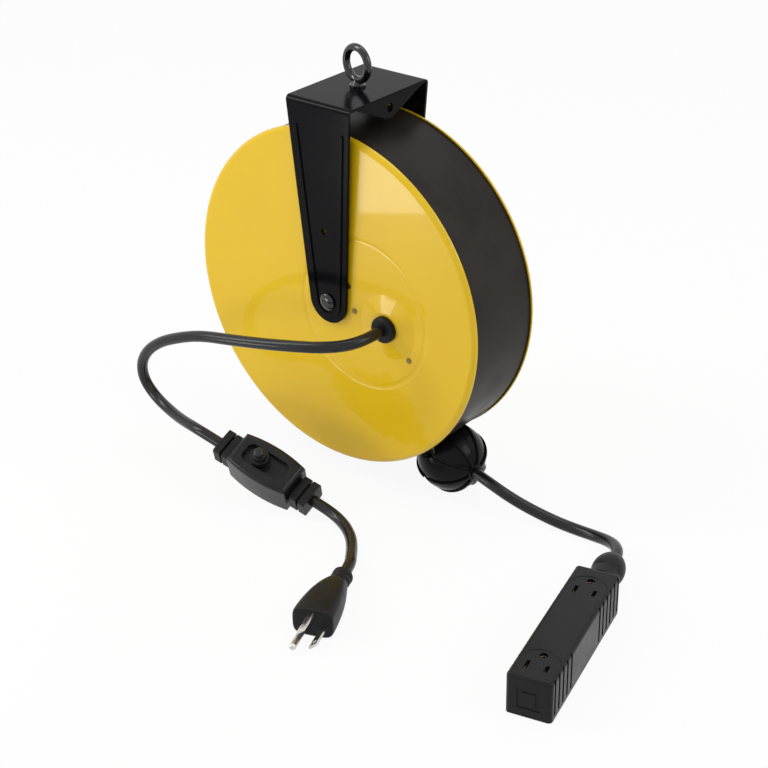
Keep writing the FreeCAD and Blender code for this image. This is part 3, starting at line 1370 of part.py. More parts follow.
def make_plug():
    """The moulded plug with two blades and a ground pin; local X points at the blades."""
    body = new_body("plug_sketches")
    length = S.plug_length
    neck_end = S.plug_collar_length + 5
    wide = S.plug_width / 2
    plan = outline(new_sketch(body, "plug_plan", "XY_Plane"), [
        (S.plug_collar_length - 1, -S.plug_neck_radius), (neck_end, -S.plug_neck_radius),
        (neck_end + 6, -(wide - 5.2), 90.0), (length - 7, -wide, 8.0), (length, -(wide - 5.0)),
        (length, wide - 5.0, 8.0), (length - 7, wide, 90.0), (neck_end + 6, wide - 5.2),
        (neck_end, S.plug_neck_radius), (S.plug_collar_length - 1, S.plug_neck_radius),
    ])
    middle = S.plug_axis
    side = outline(new_sketch(body, "plug_side", "XZ_Plane"), [
        (S.plug_collar_length - 1, middle - S.plug_neck_radius), (neck_end, middle - S.plug_neck_radius),
        (neck_end + 6, 1.0), (length - 16, 0), (length, 0), (length, S.plug_thick - 1.5, 12.0),
        (length - 7, S.plug_thick), (length - 20, S.plug_thick), (neck_end + 7, S.plug_thick - 3.5),
        (neck_end, middle + S.plug_neck_radius), (S.plug_collar_length - 1, middle + S.plug_neck_radius),
    ])
    flat = common("plug_blank", extrude("plug_flat", plan, Vector(0, 0, 1), 4 * S.plug_thick),
                  extrude("plug_profile", side, Vector(0, 1, 0), 4 * S.plug_width))
    rod = extrude("plug_rod", plug_section(body), Vector(1, 0, 0), 4 * S.plug_length)
    blank = common("plug_moulding", flat, rod)
    across = Rotation(Vector(0, 1, 0), 90)
    collar = cylinder("plug_collar", S.plug_collar_radius, S.plug_collar_length, z=middle, turn=across)
    neck = cylinder("plug_neck", S.plug_neck_radius, neck_end + 3, z=middle, turn=across)
    # the prongs stand in a frame of their own on the cord's line, rolled about it
    roll = Rotation(Vector(1, 0, 0), number_of(S.prong_roll))
    prongs = {"z": middle, "turn": roll}
    sockets = []
    blades = []
    rooted = 6.0
    for hand in (-1, 1):
        at = {"x": length - rooted, "y": hand * S.blade_spacing / 2 - S.blade_thick / 2,
              "z": S.blade_offset - S.blade_width / 2}
        sockets.append(block("blade_socket", rooted + 1, S.blade_thick, S.blade_width, **at))
        blade = block("blade", rooted + S.blade_length, S.blade_thick, S.blade_width, **at)
        eye = cylinder("blade_eye", 1.6, 10, x=length + S.blade_length - 4.5, z=S.blade_offset,
                       y=hand * S.blade_spacing / 2 - 5, turn=ALONG_AXIS)
        blades.append(cut("blade_pierced", blade, eye))
    pin_z = S.blade_offset - S.pin_offset
    sockets.append(cylinder("pin_socket", S.pin_radius, rooted + 1, x=length - rooted, z=pin_z, turn=across))
    holes = seat(join("plug_sockets", sockets), **prongs)
    sub_part("plug_body", cut("plug_body", join("plug_whole", [blank, collar, neck]), holes), **PLUG)
    rolled = seat(group("blades_rolled", blades), **prongs)
    sub_part("plug_blades", group("plug_blades", [rolled]), **PLUG)
    straight = S.pin_length - S.pin_radius
    pin = cylinder("pin_straight", S.pin_radius, rooted + straight, x=length - rooted, z=pin_z, turn=across)
    tip = doc.addObject("Part::Sphere", "pin_tip")
    bind(tip, Radius=S.pin_radius)
    seat(tip, length + straight, 0, pin_z)
    whole_pin = seat(join("pin_rolled", [pin, tip]), **prongs)
    sub_part("ground_pin", group("ground_pin", [whole_pin]), **PLUG)


# ---- cords ----

# Routes of the loose cords, measured from the drum's axis.
INLET_ROUTE = [
    (52.0, -43.0, -5.7), (51.5, -57.0, -6.2), (45.5, -71.0, -7.5), (32.0, -81.5, -9.0),
    (11.0, -88.5, -11.5), (-14.0, -93.0, -15.5), (-42.0, -96.0, -20.0), (-70.0, -97.0, -25.0),
    (-92.0, -97.5, -33.0), (-113.0, -97.5, -43.0), (-129.5, -96.8, -56.0), (-140.0, -94.5, -71.5),
    (-141.5, -91.5, -87.5), (-131.5, -90.0, -99.5), (-115.0, -92.5, -103.8), (-96.5, -98.3, -102.8),
    (-73.8, -104.5, -99.9), (-61.8, -103.1, -103.3), (-50.8, -101.8, -106.4),
]
LINK_ROUTE = [
    (27.6, -92.4, -128.5), (39.0, -91.0, -131.7), (50.5, -91.6, -134.6), (62.0, -96.2, -135.6),
    (73.0, -104.0, -135.7), (82.5, -114.4, -134.9), (90.8, -125.0, -132.6), (98.0, -134.5, -130.6),
    (102.5, -146.5, -130.5),
]
OUTLET_ROUTE = [
    (107.0, -5.0, -118.1), (118.8, -7.3, -119.2), (131.8, -7.8, -122.6), (145.0, -6.4, -127.0),
    (159.5, -4.0, -131.0), (174.5, -1.2, -134.4), (190.0, 0.8, -135.7), (204.5, 0.6, -134.6),
    (217.5, -2.6, -131.6), (228.5, -9.2, -128.0), (237.55, -20.57, -125.25), (240.65, -33.2, -125.25),
]


def make_cords():
    """The three loose cords, and the straight lead inside the drum."""
    sub_part("inlet_cord", cord("inlet_cord", INLET_ROUTE, S.cord_radius), **UPRIGHT)
    sub_part("link_cord", cord("link_cord", LINK_ROUTE, S.cord_radius), **UPRIGHT)
    sub_part("outlet_cord", cord("outlet_cord", OUTLET_ROUTE, S.cord_radius), **UPRIGHT)
    start = 4.0
    way_in = cylinder("cord_lead_straight", S.cord_radius, BALL_X - start, turn=lead_turn(BALL_TURN))
    elbow = doc.addObject("Part::Sphere", "cord_lead_elbow")
    bind(elbow, Radius=S.cord_radius)
    way_out = cylinder("cord_lead_exit", S.cord_radius, S.ball_radius, turn=Rotation(Vector(0, 1, 0), 90))
    lead = join("cord_lead", [way_in, elbow, way_out])
    sub_part("cord_lead", lead, x=BALL_X, y=0, z=DRUM["z"] - BALL_DOWN, turn=BALL_TURN)


# ---- whole reel ----

def check_document():
    """Stop if any object failed or any sub-part has no valid shape."""
    for item in doc.Objects:
        if "Invalid" in item.State or "Error" in item.State:
            raise RuntimeError(f"{item.Name} ({item.Label}) is in state {item.State}")
    for name, item in parts.items():
        if item.Shape.isNull() or not item.Shape.isValid() or item.Shape.Volume <= 0:
            raise RuntimeError(f"{name} has no valid shape")


def main():
    """Build every sub-part and write it to its own file."""
    for make in (make_covers, make_cover_rivets, make_rim, make_shaft, make_inlet_bushing, make_brush_gear,
                 make_spool, make_slip_rings, make_power_spring, make_ratchet, make_bracket, make_eye,
                 make_ball, make_outlet_block, make_breaker, make_plug, make_cords):
        make()
    doc.recompute()
    check_document()
    os.makedirs("parts", exist_ok=True)
    for name, item in parts.items():
        item.Shape.exportStep(f"parts/{name}.step")
        print(f"{name}: {len(item.Shape.Solids)} solids, {len(item.Shape.Faces)} faces,"
              f" {item.Shape.Volume / 1000:.2f} cm3")
    print(f"{len(parts)} sub-parts")


main()
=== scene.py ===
"""Studio scene of a hanging extension cord reel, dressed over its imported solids."""

import json
import logging
import math
from dataclasses import dataclass, field
from enum import Enum
from typing import Iterable, Sequence

import bpy
from mathutils import Matrix, Vector


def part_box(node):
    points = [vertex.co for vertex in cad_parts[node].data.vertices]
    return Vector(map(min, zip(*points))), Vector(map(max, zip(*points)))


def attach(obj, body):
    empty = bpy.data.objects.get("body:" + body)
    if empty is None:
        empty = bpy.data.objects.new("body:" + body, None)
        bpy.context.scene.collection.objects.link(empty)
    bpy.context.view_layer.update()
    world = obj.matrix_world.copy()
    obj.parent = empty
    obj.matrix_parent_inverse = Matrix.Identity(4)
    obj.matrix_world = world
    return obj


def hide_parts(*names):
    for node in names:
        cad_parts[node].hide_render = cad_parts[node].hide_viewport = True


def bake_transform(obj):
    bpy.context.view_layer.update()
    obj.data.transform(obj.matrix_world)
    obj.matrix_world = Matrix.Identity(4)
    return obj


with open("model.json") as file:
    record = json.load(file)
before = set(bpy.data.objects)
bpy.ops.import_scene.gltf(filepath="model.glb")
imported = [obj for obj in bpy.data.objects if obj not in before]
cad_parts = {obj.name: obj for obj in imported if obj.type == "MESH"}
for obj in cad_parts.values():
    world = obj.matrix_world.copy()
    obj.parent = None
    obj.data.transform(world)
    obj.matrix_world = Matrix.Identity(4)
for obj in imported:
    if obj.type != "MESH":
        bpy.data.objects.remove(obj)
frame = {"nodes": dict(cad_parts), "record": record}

log = logging.getLogger("cord_reel")

Colour = tuple[float, float, float]
Point = tuple[float, float, float]
# A node group with its input node and its output node.
Group = tuple[bpy.types.NodeTree, bpy.types.Node, bpy.types.Node]

# Heights of the drum's axis and of the floor, and the cords' thickness, in metres.
AXIS_HEIGHT = -0.164
FLOOR_HEIGHT = -0.3042
CORD_DIAMETER = 0.0082

# A mix node has sockets of the same names for each kind of data: these are the colour ones.
MIX_FIRST, MIX_SECOND, MIX_RESULT = 6, 7, 2


def corners(box: Iterable[Iterable[float]]) -> list[list[float]]:
    """Plain lists of a box's two corners."""
    return [[float(value) for value in corner] for corner in box]


def tube_faces(rings: int, count: int) -> list[tuple[int, ...]]:
    """Faces of a closed tube.

    Args:
        rings: How many rings of points it has.
        count: How many points each ring has.

    Returns:
        Each face's point numbers.
    """
    faces = [tuple(reversed(range(count)))]
    for ring in range(rings - 1):
        base = ring * count
        faces.extend((base + step, base + (step + 1) % count, base + count + (step + 1) % count,
                      base + count + step) for step in range(count))
    last = (rings - 1) * count
    faces.append(tuple(range(last, last + count)))
    return faces


# ---- nodes that several trees need ----


def math_value(tree: bpy.types.NodeTree, operation: str, first: bpy.types.NodeSocket,
               second: bpy.types.NodeSocket | float) -> bpy.types.NodeSocket:
    """Join two values by an operation.

    Args:
        tree: The node tree to build in.
        operation: The math node's operation.
        first: Where the first value comes from.
        second: Where the second value comes from, or the value itself.

    Returns:
        The socket that gives the result.
    """
    node = tree.nodes.new("ShaderNodeMath")
    node.operation = operation
    tree.links.new(first, node.inputs[0])
    if isinstance(second, bpy.types.NodeSocket):
        tree.links.new(second, node.inputs[1])
    else:
        node.inputs[1].default_value = second
    return node.outputs["Value"]


def stretch(tree: bpy.types.NodeTree, value: bpy.types.NodeSocket,
            span: tuple[float, float]) -> bpy.types.Node:
    """Map a span of values to the whole range from 0 to 1.

    Args:
        tree: The node tree to build in.
        value: Where the value comes from.
        span: The values that become 0 and 1.

    Returns:
        The node, whose To Min and To Max can be set to another range.
    """
    node = tree.nodes.new("ShaderNodeMapRange")
    node.inputs["From Min"].default_value, node.inputs["From Max"].default_value = span
    tree.links.new(value, node.inputs["Value"])
    return node


def mix_colours(tree: bpy.types.NodeTree, share: bpy.types.NodeSocket, first: bpy.types.NodeSocket,
                second: bpy.types.NodeSocket) -> bpy.types.NodeSocket:
    """Mix two colours.

    Args:
        tree: The node tree to build in.
        share: The second colour's share.
        first: The first colour.
        second: The second colour.

    Returns:
        The socket that gives the mixed colour.
    """
    node = tree.nodes.new("ShaderNodeMix")
    node.data_type = "RGBA"
    tree.links.new(share, node.inputs["Factor"])
    tree.links.new(first, node.inputs[MIX_FIRST])
    tree.links.new(second, node.inputs[MIX_SECOND])
    return node.outputs[MIX_RESULT]


def ray_switch(tree: bpy.types.NodeTree, kinds: Sequence[str]) -> bpy.types.NodeSocket:
    """Tell some kinds of ray from the rest.

    Args:
        tree: The node tree to build in.
        kinds: The light path node's outputs for those kinds.

    Returns:
        The socket that gives 1 for those kinds and 0 for the rest.
    """
    path = tree.nodes.new("ShaderNodeLightPath")
    result = path.outputs[kinds[0]]
    for kind in kinds[1:]:
        result = math_value(tree, "MAXIMUM", result, path.outputs[kind])
    return result


# ---- shader effects shared by several finishes ----


class Effect(Enum):
    """The shared shader effects, each a node group of that name."""

    GRAIN = "Surface Grain"
    DUST = "Settled Dust"
    RUBBED = "Rubbed Edges"


class EffectLibrary:
    """Builds each shared effect once and places it in a material.

    Attributes:
        PATCH_DETAIL: Detail of the noise that makes the patches.
        PATCH_SPAN: Values of that noise between which the colours change.
        GLOSS_SPAN: Values of that noise between which the gloss changes.
        GRAIN_DETAIL: Detail of the noise that makes the texture.
        UPWARD_SPAN: Upward part of the normal where dust starts, and where it is full.
        SPECK_DETAIL: Detail of the noise that breaks up the dust.
        SPECK_SPAN: Values of that noise between which dust gathers.
        EDGE_SAMPLES: Samples that soften an edge.
        RELIEF_DEPTH: Depth of the texture at full relief, in metres.
    """

    PATCH_DETAIL = 3.0
    PATCH_SPAN = (0.35, 0.65)
    GLOSS_SPAN = (0.3, 0.7)
    GRAIN_DETAIL = 2.0
    UPWARD_SPAN = (0.1, 1.0)
    SPECK_DETAIL = 4.0
    SPECK_SPAN = (0.45, 0.75)
    EDGE_SAMPLES = 4
    RELIEF_DEPTH = 0.0002

    def __init__(self) -> None:
        """Start with no group built."""
        self._groups: dict[Effect, bpy.types.NodeTree] = {}

    def place(self, tree: bpy.types.NodeTree, effect: Effect, **values: object) -> bpy.types.Node:
        """Put an effect into a material.

        Args:
            tree: The material's node tree.
            effect: Which effect to place.
            **values: Values for the group's inputs, with _ for a space.

        Returns:
            The new group node.
        """
        if effect not in self._groups:
            makers = {Effect.GRAIN: self._grain, Effect.DUST: self._dust, Effect.RUBBED: self._rubbed}
            self._groups[effect] = makers[effect]()
        node = tree.nodes.new("ShaderNodeGroup")
        node.node_tree = self._groups[effect]
        for key, value in values.items():
            node.inputs[key.replace("_", " ")].default_value = value
        return node

    @staticmethod
    def _start(name: str, inputs: Sequence[tuple[str, str, object]],
               outputs: Sequence[tuple[str, str]]) -> Group:
        """Make an empty group with its sockets.

        Args:
            name: The group's name.
            inputs: Socket name, kind (Float, Color or Vector) and default of each input.
            outputs: Socket name and kind of each output.

        Returns:
            The group, its input node and its output node.
        """
        group = bpy.data.node_groups.new(name, "ShaderNodeTree")
        for label, kind, default in inputs:
            socket = group.interface.new_socket(label, in_out="INPUT", socket_type=f"NodeSocket{kind}")
            socket.default_value = default
        for label, kind in outputs:
            group.interface.new_socket(label, in_out="OUTPUT", socket_type=f"NodeSocket{kind}")
        return group, group.nodes.new("NodeGroupInput"), group.nodes.new("NodeGroupOutput")

    @staticmethod
    def _noise(group: bpy.types.NodeTree, detail: float) -> bpy.types.Node:
        """A noise texture on the piece's own coordinates."""
        place = group.nodes.new("ShaderNodeTexCoord")
        noise = group.nodes.new("ShaderNodeTexNoise")
        noise.inputs["Detail"].default_value = detail
        group.links.new(place.outputs["Object"], noise.inputs["Vector"])
        return noise

    def _grain(self) -> bpy.types.NodeTree:
        """Mottled colour, uneven gloss and a fine moulded or sprayed texture."""
        group, source, result = self._start(
            Effect.GRAIN.value,
            [("Colour", "Color", (0.5, 0.5, 0.5, 1)), ("Shade", "Color", (0.4, 0.4, 0.4, 1)),
             ("Patch Scale", "Float", 30.0), ("Grain Scale", "Float", 900.0),
             ("Gloss Low", "Float", 0.3), ("Gloss High", "Float", 0.4)],
            [("Colour", "Color"), ("Roughness", "Float"), ("Height", "Float")])
        links = group.links
        patches = self._noise(group, self.PATCH_DETAIL)
        grain = self._noise(group, self.GRAIN_DETAIL)
        links.new(source.outputs["Patch Scale"], patches.inputs["Scale"])
        links.new(source.outputs["Grain Scale"], grain.inputs["Scale"])
        spread = stretch(group, patches.outputs["Fac"], self.PATCH_SPAN)
        mixed = mix_colours(group, spread.outputs["Result"], source.outputs["Shade"],
                            source.outputs["Colour"])
        gloss = stretch(group, patches.outputs["Fac"], self.GLOSS_SPAN)
        links.new(source.outputs["Gloss Low"], gloss.inputs["To Min"])
        links.new(source.outputs["Gloss High"], gloss.inputs["To Max"])
        links.new(mixed, result.inputs["Colour"])
        links.new(gloss.outputs["Result"], result.inputs["Roughness"])
        links.new(grain.outputs["Fac"], result.inputs["Height"])
        return group

    def _dust(self) -> bpy.types.NodeTree:
        """A thin veil of dust on what faces up."""
        group, source, result = self._start(
            Effect.DUST.value,
            [("Colour", "Color", (0.5, 0.5, 0.5, 1)), ("Dust Colour", "Color", (0.3, 0.28, 0.25, 1)),
             ("Amount", "Float", 0.1), ("Speck Scale", "Float", 1500.0)],
            [("Colour", "Color"), ("Mask", "Float")])
        links = group.links
        shape = group.nodes.new("ShaderNodeNewGeometry")
        parts = group.nodes.new("ShaderNodeSeparateXYZ")
        links.new(shape.outputs["Normal"], parts.inputs["Vector"])
        upward = stretch(group, parts.outputs["Z"], self.UPWARD_SPAN)
        specks = self._noise(group, self.SPECK_DETAIL)
        links.new(source.outputs["Speck Scale"], specks.inputs["Scale"])
        broken = stretch(group, specks.outputs["Fac"], self.SPECK_SPAN)
        both = math_value(group, "MULTIPLY", upward.outputs["Result"], broken.outputs["Result"])
        mask = math_value(group, "MULTIPLY", both, source.outputs["Amount"])
        mixed = mix_colours(group, mask, source.outputs["Colour"], source.outputs["Dust Colour"])
        links.new(mixed, result.inputs["Colour"])
        links.new(mask, result.inputs["Mask"])
        return group

    def _rubbed(self) -> bpy.types.NodeTree:
        """Edges softened to a radius, as paint and mouldings have."""
        group, source, result = self._start(
            Effect.RUBBED.value,
            [("Radius", "Float", 0.0006), ("Relief", "Float", 0.05), ("Height", "Float", 0.0)],
            [("Normal", "Vector")])
        soft = group.nodes.new("ShaderNodeBevel")
        soft.samples = self.EDGE_SAMPLES
        group.links.new(source.outputs["Radius"], soft.inputs["Radius"])
        bump = group.nodes.new("ShaderNodeBump")
        bump.inputs["Distance"].default_value = self.RELIEF_DEPTH
        group.links.new(source.outputs["Relief"], bump.inputs["Strength"])
        group.links.new(source.outputs["Height"], bump.inputs["Height"])
        group.links.new(soft.outputs["Normal"], bump.inputs["Normal"])
        group.links.new(bump.outputs["Normal"], result.inputs["Normal"])
        return group


EFFECTS = EffectLibrary()


# ---- finishes ----


@dataclass(frozen=True)
class Finish:
    """One surface finish of the reel.

    Attributes:
        name: Material name.
        colour: Main colour.
        shade: Colour of the darker patches.
        gloss: Lowest and highest roughness.
        patch_scale: How fine the patches are, per metre.
        grain_scale: How fine the texture is, per metre.
        relief: How deep the texture is.
        edge: Radius that sharp edges are softened to, in metres.
        metallic: 1 for bare metal.
        coat: Strength of the clear top layer.
        coat_roughness: Roughness of the clear top layer.
        dust: Amount of dust on what faces up.
        ior: Refractive index, low where little is mirrored.
    """

    name: str
    colour: Colour
    shade: Colour
    gloss: tuple[float, float]
    patch_scale: float = 30.0
    grain_scale: float = 900.0
    relief: float = 0.05
    edge: float = 0.0005
    metallic: float = 0.0
    coat: float = 0.0
    coat_roughness: float = 0.1
    dust: float = 0.0
    ior: float = 1.5

    def build(self) -> bpy.types.Material:
        """Make the material.

        Returns:
            The finished material.
        """
        material = bpy.data.materials.new(self.name)
        material.use_nodes = True
        tree = material.node_tree
        shader = tree.nodes["Principled BSDF"]
        shader.inputs["Metallic"].default_value = self.metallic
        shader.inputs["Coat Weight"].default_value = self.coat
        shader.inputs["Coat Roughness"].default_value = self.coat_roughness
        shader.inputs["IOR"].default_value = self.ior
        grain = EFFECTS.place(tree, Effect.GRAIN, Colour=(*self.colour, 1), Shade=(*self.shade, 1),
                              Patch_Scale=self.patch_scale, Grain_Scale=self.grain_scale,
                              Gloss_Low=self.gloss[0], Gloss_High=self.gloss[1])
        edges = EFFECTS.place(tree, Effect.RUBBED, Radius=self.edge, Relief=self.relief)
        tree.links.new(grain.outputs["Height"], edges.inputs["Height"])
        tree.links.new(edges.outputs["Normal"], shader.inputs["Normal"])
        tree.links.new(grain.outputs["Roughness"], shader.inputs["Roughness"])
        if self.dust > 0:
            dust = EFFECTS.place(tree, Effect.DUST, Amount=self.dust)
            tree.links.new(grain.outputs["Colour"], dust.inputs["Colour"])
            tree.links.new(dust.outputs["Colour"], shader.inputs["Base Color"])
        else:
            tree.links.new(grain.outputs["Colour"], shader.inputs["Base Color"])
        return material


YELLOW_ENAMEL = Finish("yellow_enamel", (0.80, 0.525, 0.006), (0.77, 0.49, 0.005), (0.30, 0.36),
                       patch_scale=9.0, grain_scale=700.0, relief=0.03, edge=0.0008,
                       coat=0.35, coat_roughness=0.05, ior=1.3)
BAND_PAINT = Finish("band_paint", (0.022, 0.018, 0.014), (0.012, 0.010, 0.008), (0.34, 0.50),
                    patch_scale=28.0, grain_scale=1400.0, relief=0.12, edge=0.0004, ior=1.24)
BLACK_ENAMEL = Finish("black_enamel", (0.004, 0.004, 0.005), (0.003, 0.003, 0.004), (0.15, 0.20),
                      patch_scale=25.0, grain_scale=500.0, relief=0.05, edge=0.0008,
                      coat=0.1, coat_roughness=0.08, ior=1.1)
BLACK_STEEL = Finish("black_steel", (0.006, 0.006, 0.007), (0.004, 0.004, 0.005), (0.12, 0.20),
                     patch_scale=120.0, grain_scale=1500.0, relief=0.06, edge=0.0004, ior=1.55)
ZINC = Finish("zinc_plate", (0.62, 0.61, 0.57), (0.50, 0.50, 0.47), (0.28, 0.38), metallic=1.0,
              patch_scale=150.0, grain_scale=2500.0, relief=0.06)
RIVET_STEEL = Finish("rivet_steel", (0.30, 0.22, 0.08), (0.2, 0.15, 0.06), (0.3, 0.4), metallic=1.0,
                     patch_scale=300.0, grain_scale=3000.0)
SPRING_STEEL = Finish("blued_spring_strip", (0.22, 0.24, 0.30), (0.15, 0.17, 0.24), (0.25, 0.35),
                      metallic=1.0, patch_scale=60.0, grain_scale=2500.0)
BRASS = Finish("bare_brass", (0.80, 0.63, 0.32), (0.68, 0.50, 0.24), (0.22, 0.34), metallic=1.0,
               patch_scale=200.0, grain_scale=3500.0, relief=0.05, edge=0.0003)
NICKEL = Finish("nickel_plate", (0.70, 0.68, 0.63), (0.58, 0.56, 0.51), (0.20, 0.30), metallic=1.0,
                patch_scale=200.0, grain_scale=3500.0, relief=0.05, edge=0.0003)
GUIDE_PLASTIC = Finish("moulded_guide", (0.010, 0.010, 0.011), (0.007, 0.007, 0.008), (0.30, 0.40),
                       patch_scale=60.0, grain_scale=1800.0, relief=0.10, edge=0.0008, ior=1.32)
BALL_PLASTIC = Finish("ball_plastic", (0.006, 0.006, 0.007), (0.004, 0.004, 0.005), (0.20, 0.28),
                      patch_scale=50.0, grain_scale=1200.0, relief=0.05, edge=0.0005, ior=1.2)
CORE_PLASTIC = Finish("spool_moulding", (0.10, 0.10, 0.105), (0.08, 0.08, 0.085), (0.45, 0.55),
                      patch_scale=50.0, grain_scale=1500.0, relief=0.1)
DISC_PLASTIC = Finish("brown_insulating_sheet", (0.24, 0.13, 0.06), (0.18, 0.10, 0.05), (0.45, 0.6),
                      patch_scale=120.0, grain_scale=2500.0, relief=0.1)
CARBON = Finish("pressed_carbon", (0.04, 0.04, 0.042), (0.02, 0.02, 0.022), (0.45, 0.6),
                patch_scale=300.0, grain_scale=4000.0, relief=0.2)
JACKET = Finish("cord_jacket", (0.010, 0.010, 0.011), (0.007, 0.007, 0.008), (0.20, 0.28),
                patch_scale=80.0, grain_scale=2200.0, relief=0.10, edge=0.0003, dust=0.03, ior=1.38)
RUBBER = Finish("moulded_rubber", (0.011, 0.011, 0.012), (0.008, 0.008, 0.009), (0.38, 0.48),
                patch_scale=80.0, grain_scale=2600.0, relief=0.12, edge=0.0008, dust=0.02, ior=1.26)
BLOCK_PLASTIC = Finish("block_moulding", (0.012, 0.012, 0.013), (0.009, 0.009, 0.010), (0.28, 0.36),
                       patch_scale=60.0, grain_scale=2400.0, relief=0.14, edge=0.0006, dust=0.02, ior=1.26)
BREAKER_PLASTIC = Finish("breaker_moulding", (0.012, 0.012, 0.013), (0.009, 0.009, 0.010), (0.26, 0.34),
                         patch_scale=70.0, grain_scale=2400.0, relief=0.12, edge=0.0006, dust=0.02,
                         ior=1.3)
BUTTON_PLASTIC = Finish("button_moulding", (0.016, 0.016, 0.017), (0.012, 0.012, 0.013), (0.16, 0.24),
                        patch_scale=100.0, grain_scale=2000.0, relief=0.04, edge=0.0004, ior=1.42)


# ---- sub-assemblies ----


@dataclass
class SubAssembly:
    """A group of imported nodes.

    Attributes:
        finishes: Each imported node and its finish.
    """

    finishes: dict[str, Finish] = field(default_factory=dict)

    def dress(self, materials: dict[str, bpy.types.Material]) -> None:
        """Give each node its finish.

        Args:
            materials: Materials made so far, by name, which this adds to.
        """
        for node, finish in self.finishes.items():
            if finish.name not in materials:
                materials[finish.name] = finish.build()
            piece = frame["nodes"][node]
            for slot in piece.material_slots:
                slot.material = materials[finish.name]
            log.info("dressed %s in %s", node, finish.name)

    def build(self, materials: dict[str, bpy.types.Material]) -> None:
        """Dress the nodes. Some sub-assemblies go on to make a piece of their own.

        Args:
            materials: Materials made so far, by name, which this adds to.
        """
        self.dress(materials)


@dataclass
class Housing(SubAssembly):
    """Covers, band, guide, shaft and pivots."""

    finishes: dict[str, Finish] = field(default_factory=lambda: {
        "front_cover": YELLOW_ENAMEL, "rear_cover": YELLOW_ENAMEL, "rim_band": BAND_PAINT,
        "cord_guide": GUIDE_PLASTIC, "center_shaft": ZINC, "pivot_bolts": BLACK_STEEL,
        "pivot_washers": BLACK_STEEL, "cover_rivets": RIVET_STEEL, "inlet_bushing": RUBBER,
        "brush_holder": DISC_PLASTIC, "brushes": CARBON, "spring_arbor": ZINC, "pawl_pin": ZINC})


@dataclass
class Hanger(SubAssembly):
    """The folded bracket and the eye on top of it."""

    finishes: dict[str, Finish] = field(default_factory=lambda: {
        "bracket": BLACK_ENAMEL, "eye_bolt": BLACK_STEEL, "eye_nut": BLACK_STEEL})


@dataclass
class Spool(SubAssembly):
    """What turns inside the drum, and the latch that holds it."""

    finishes: dict[str, Finish] = field(default_factory=lambda: {
        "spool_core": CORE_PLASTIC, "spool_bushings": CORE_PLASTIC, "spool_flange_front": ZINC,
        "spool_flange_rear": ZINC, "flange_rivets": RIVET_STEEL, "wound_cord": JACKET,
        "slip_ring_disc": DISC_PLASTIC, "slip_rings": BRASS, "spring_cup": ZINC, "spring_cover": ZINC,
        "power_spring": SPRING_STEEL, "ratchet_wheel": ZINC, "pawl": ZINC})


@dataclass
class BallStop(SubAssembly):
    """The ribbed ball that stops the cord at the drum, and the cord that it draws out.

    Attributes:
        finishes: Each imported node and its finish.
        cord_radius: Half the cord's thickness.
        rings: How many sections the drawn cord has.
        ring_points: How many points each section has.
        grip_depth: How far the drawn cord reaches into the ball.
    """

    finishes: dict[str, Finish] = field(default_factory=lambda: {
        "ball_half_front": BALL_PLASTIC, "ball_half_rear": BALL_PLASTIC, "ball_screws": ZINC,
        "cord_lead": JACKET})
    cord_radius: float = CORD_DIAMETER / 2
    rings: int = 48
    ring_points: int = 24
    grip_depth: float = 0.012

    def build(self, materials: dict[str, bpy.types.Material]) -> None:
        """Dress the ball and make the cord that follows it out of the drum.

        Args:
            materials: Materials made so far, by name, which this adds to.
        """
        self.dress(materials)
        self._draw_cord(materials[JACKET.name])

    def _draw_cord(self, material: bpy.types.Material) -> None:
        """Make the straight cord from inside the drum to the ball.

        Args:
            material: The jacket's material.
        """
        lead_low, lead_high = corners(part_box("cord_lead"))
        ball_low, _ = corners(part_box("ball_half_front"))
        height = lead_high[2] - self.cord_radius
        start = lead_low[0]
        end = ball_low[0] + self.grip_depth
        points = []
        for ring in range(self.rings):
            along = start + (end - start) * ring / (self.rings - 1)
            for step in range(self.ring_points):
                angle = 2 * math.pi * step / self.ring_points
                points.append((along, self.cord_radius * math.cos(angle),
                               height + self.cord_radius * math.sin(angle)))
        mesh = bpy.data.meshes.new("drawn_cord")
        mesh.from_pydata(points, [], tube_faces(self.rings, self.ring_points))
        mesh.shade_smooth()
        mesh.materials.append(material)
        piece = bpy.data.objects.new("drawn_cord", mesh)
        bpy.context.collection.objects.link(piece)
        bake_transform(piece)
        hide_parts("cord_lead")
        log.info("made %s, %.3f m at rest", piece.name, end - start)


@dataclass
class OutletBlock(SubAssembly):
    """The block at the end of the pulled cord."""

    finishes: dict[str, Finish] = field(default_factory=lambda: {
        "block_body": BLOCK_PLASTIC, "block_base": BLOCK_PLASTIC, "block_contacts": BRASS,
        "block_screws": ZINC, "block_strain_relief": RUBBER})


@dataclass
class Breaker(SubAssembly):
    """The in-line breaker with its push button."""

    finishes: dict[str, Finish] = field(default_factory=lambda: {
        "breaker_bottom": BREAKER_PLASTIC, "breaker_top": BREAKER_PLASTIC, "breaker_screws": ZINC,
        "breaker_grommets": RUBBER, "reset_button": BUTTON_PLASTIC})


@dataclass(frozen=True)
class Station:
    """One section of the plug's moulding, across its axis, in metres.

    Attributes:
        along: Distance from the cord's end.
        half_width: Half the width.
        low: How far it reaches below the axis.
        high: How far it reaches above the axis.
        squareness: 2 for an ellipse, more for a rounded box.
    """

    along: float
    half_width: float
    low: float
    high: float
    squareness: float = 2.0

    def ring(self, count: int) -> list[Point]:
        """Points round the section.

        Args:
            count: How many points.

        Returns:
            The points, with X along the axis and Z up.
        """
        points = []
        power = 2 / self.squareness
        middle = (self.high - self.low) / 2
        half_height = (self.high + self.low) / 2
        for step in range(count):
            angle = 2 * math.pi * (step + 0.5) / count
            across = math.copysign(abs(math.cos(angle)) ** power, math.cos(angle))
            upward = math.copysign(abs(math.sin(angle)) ** power, math.sin(angle))
            points.append((self.along, self.half_width * across, middle + half_height * upward))
        return points


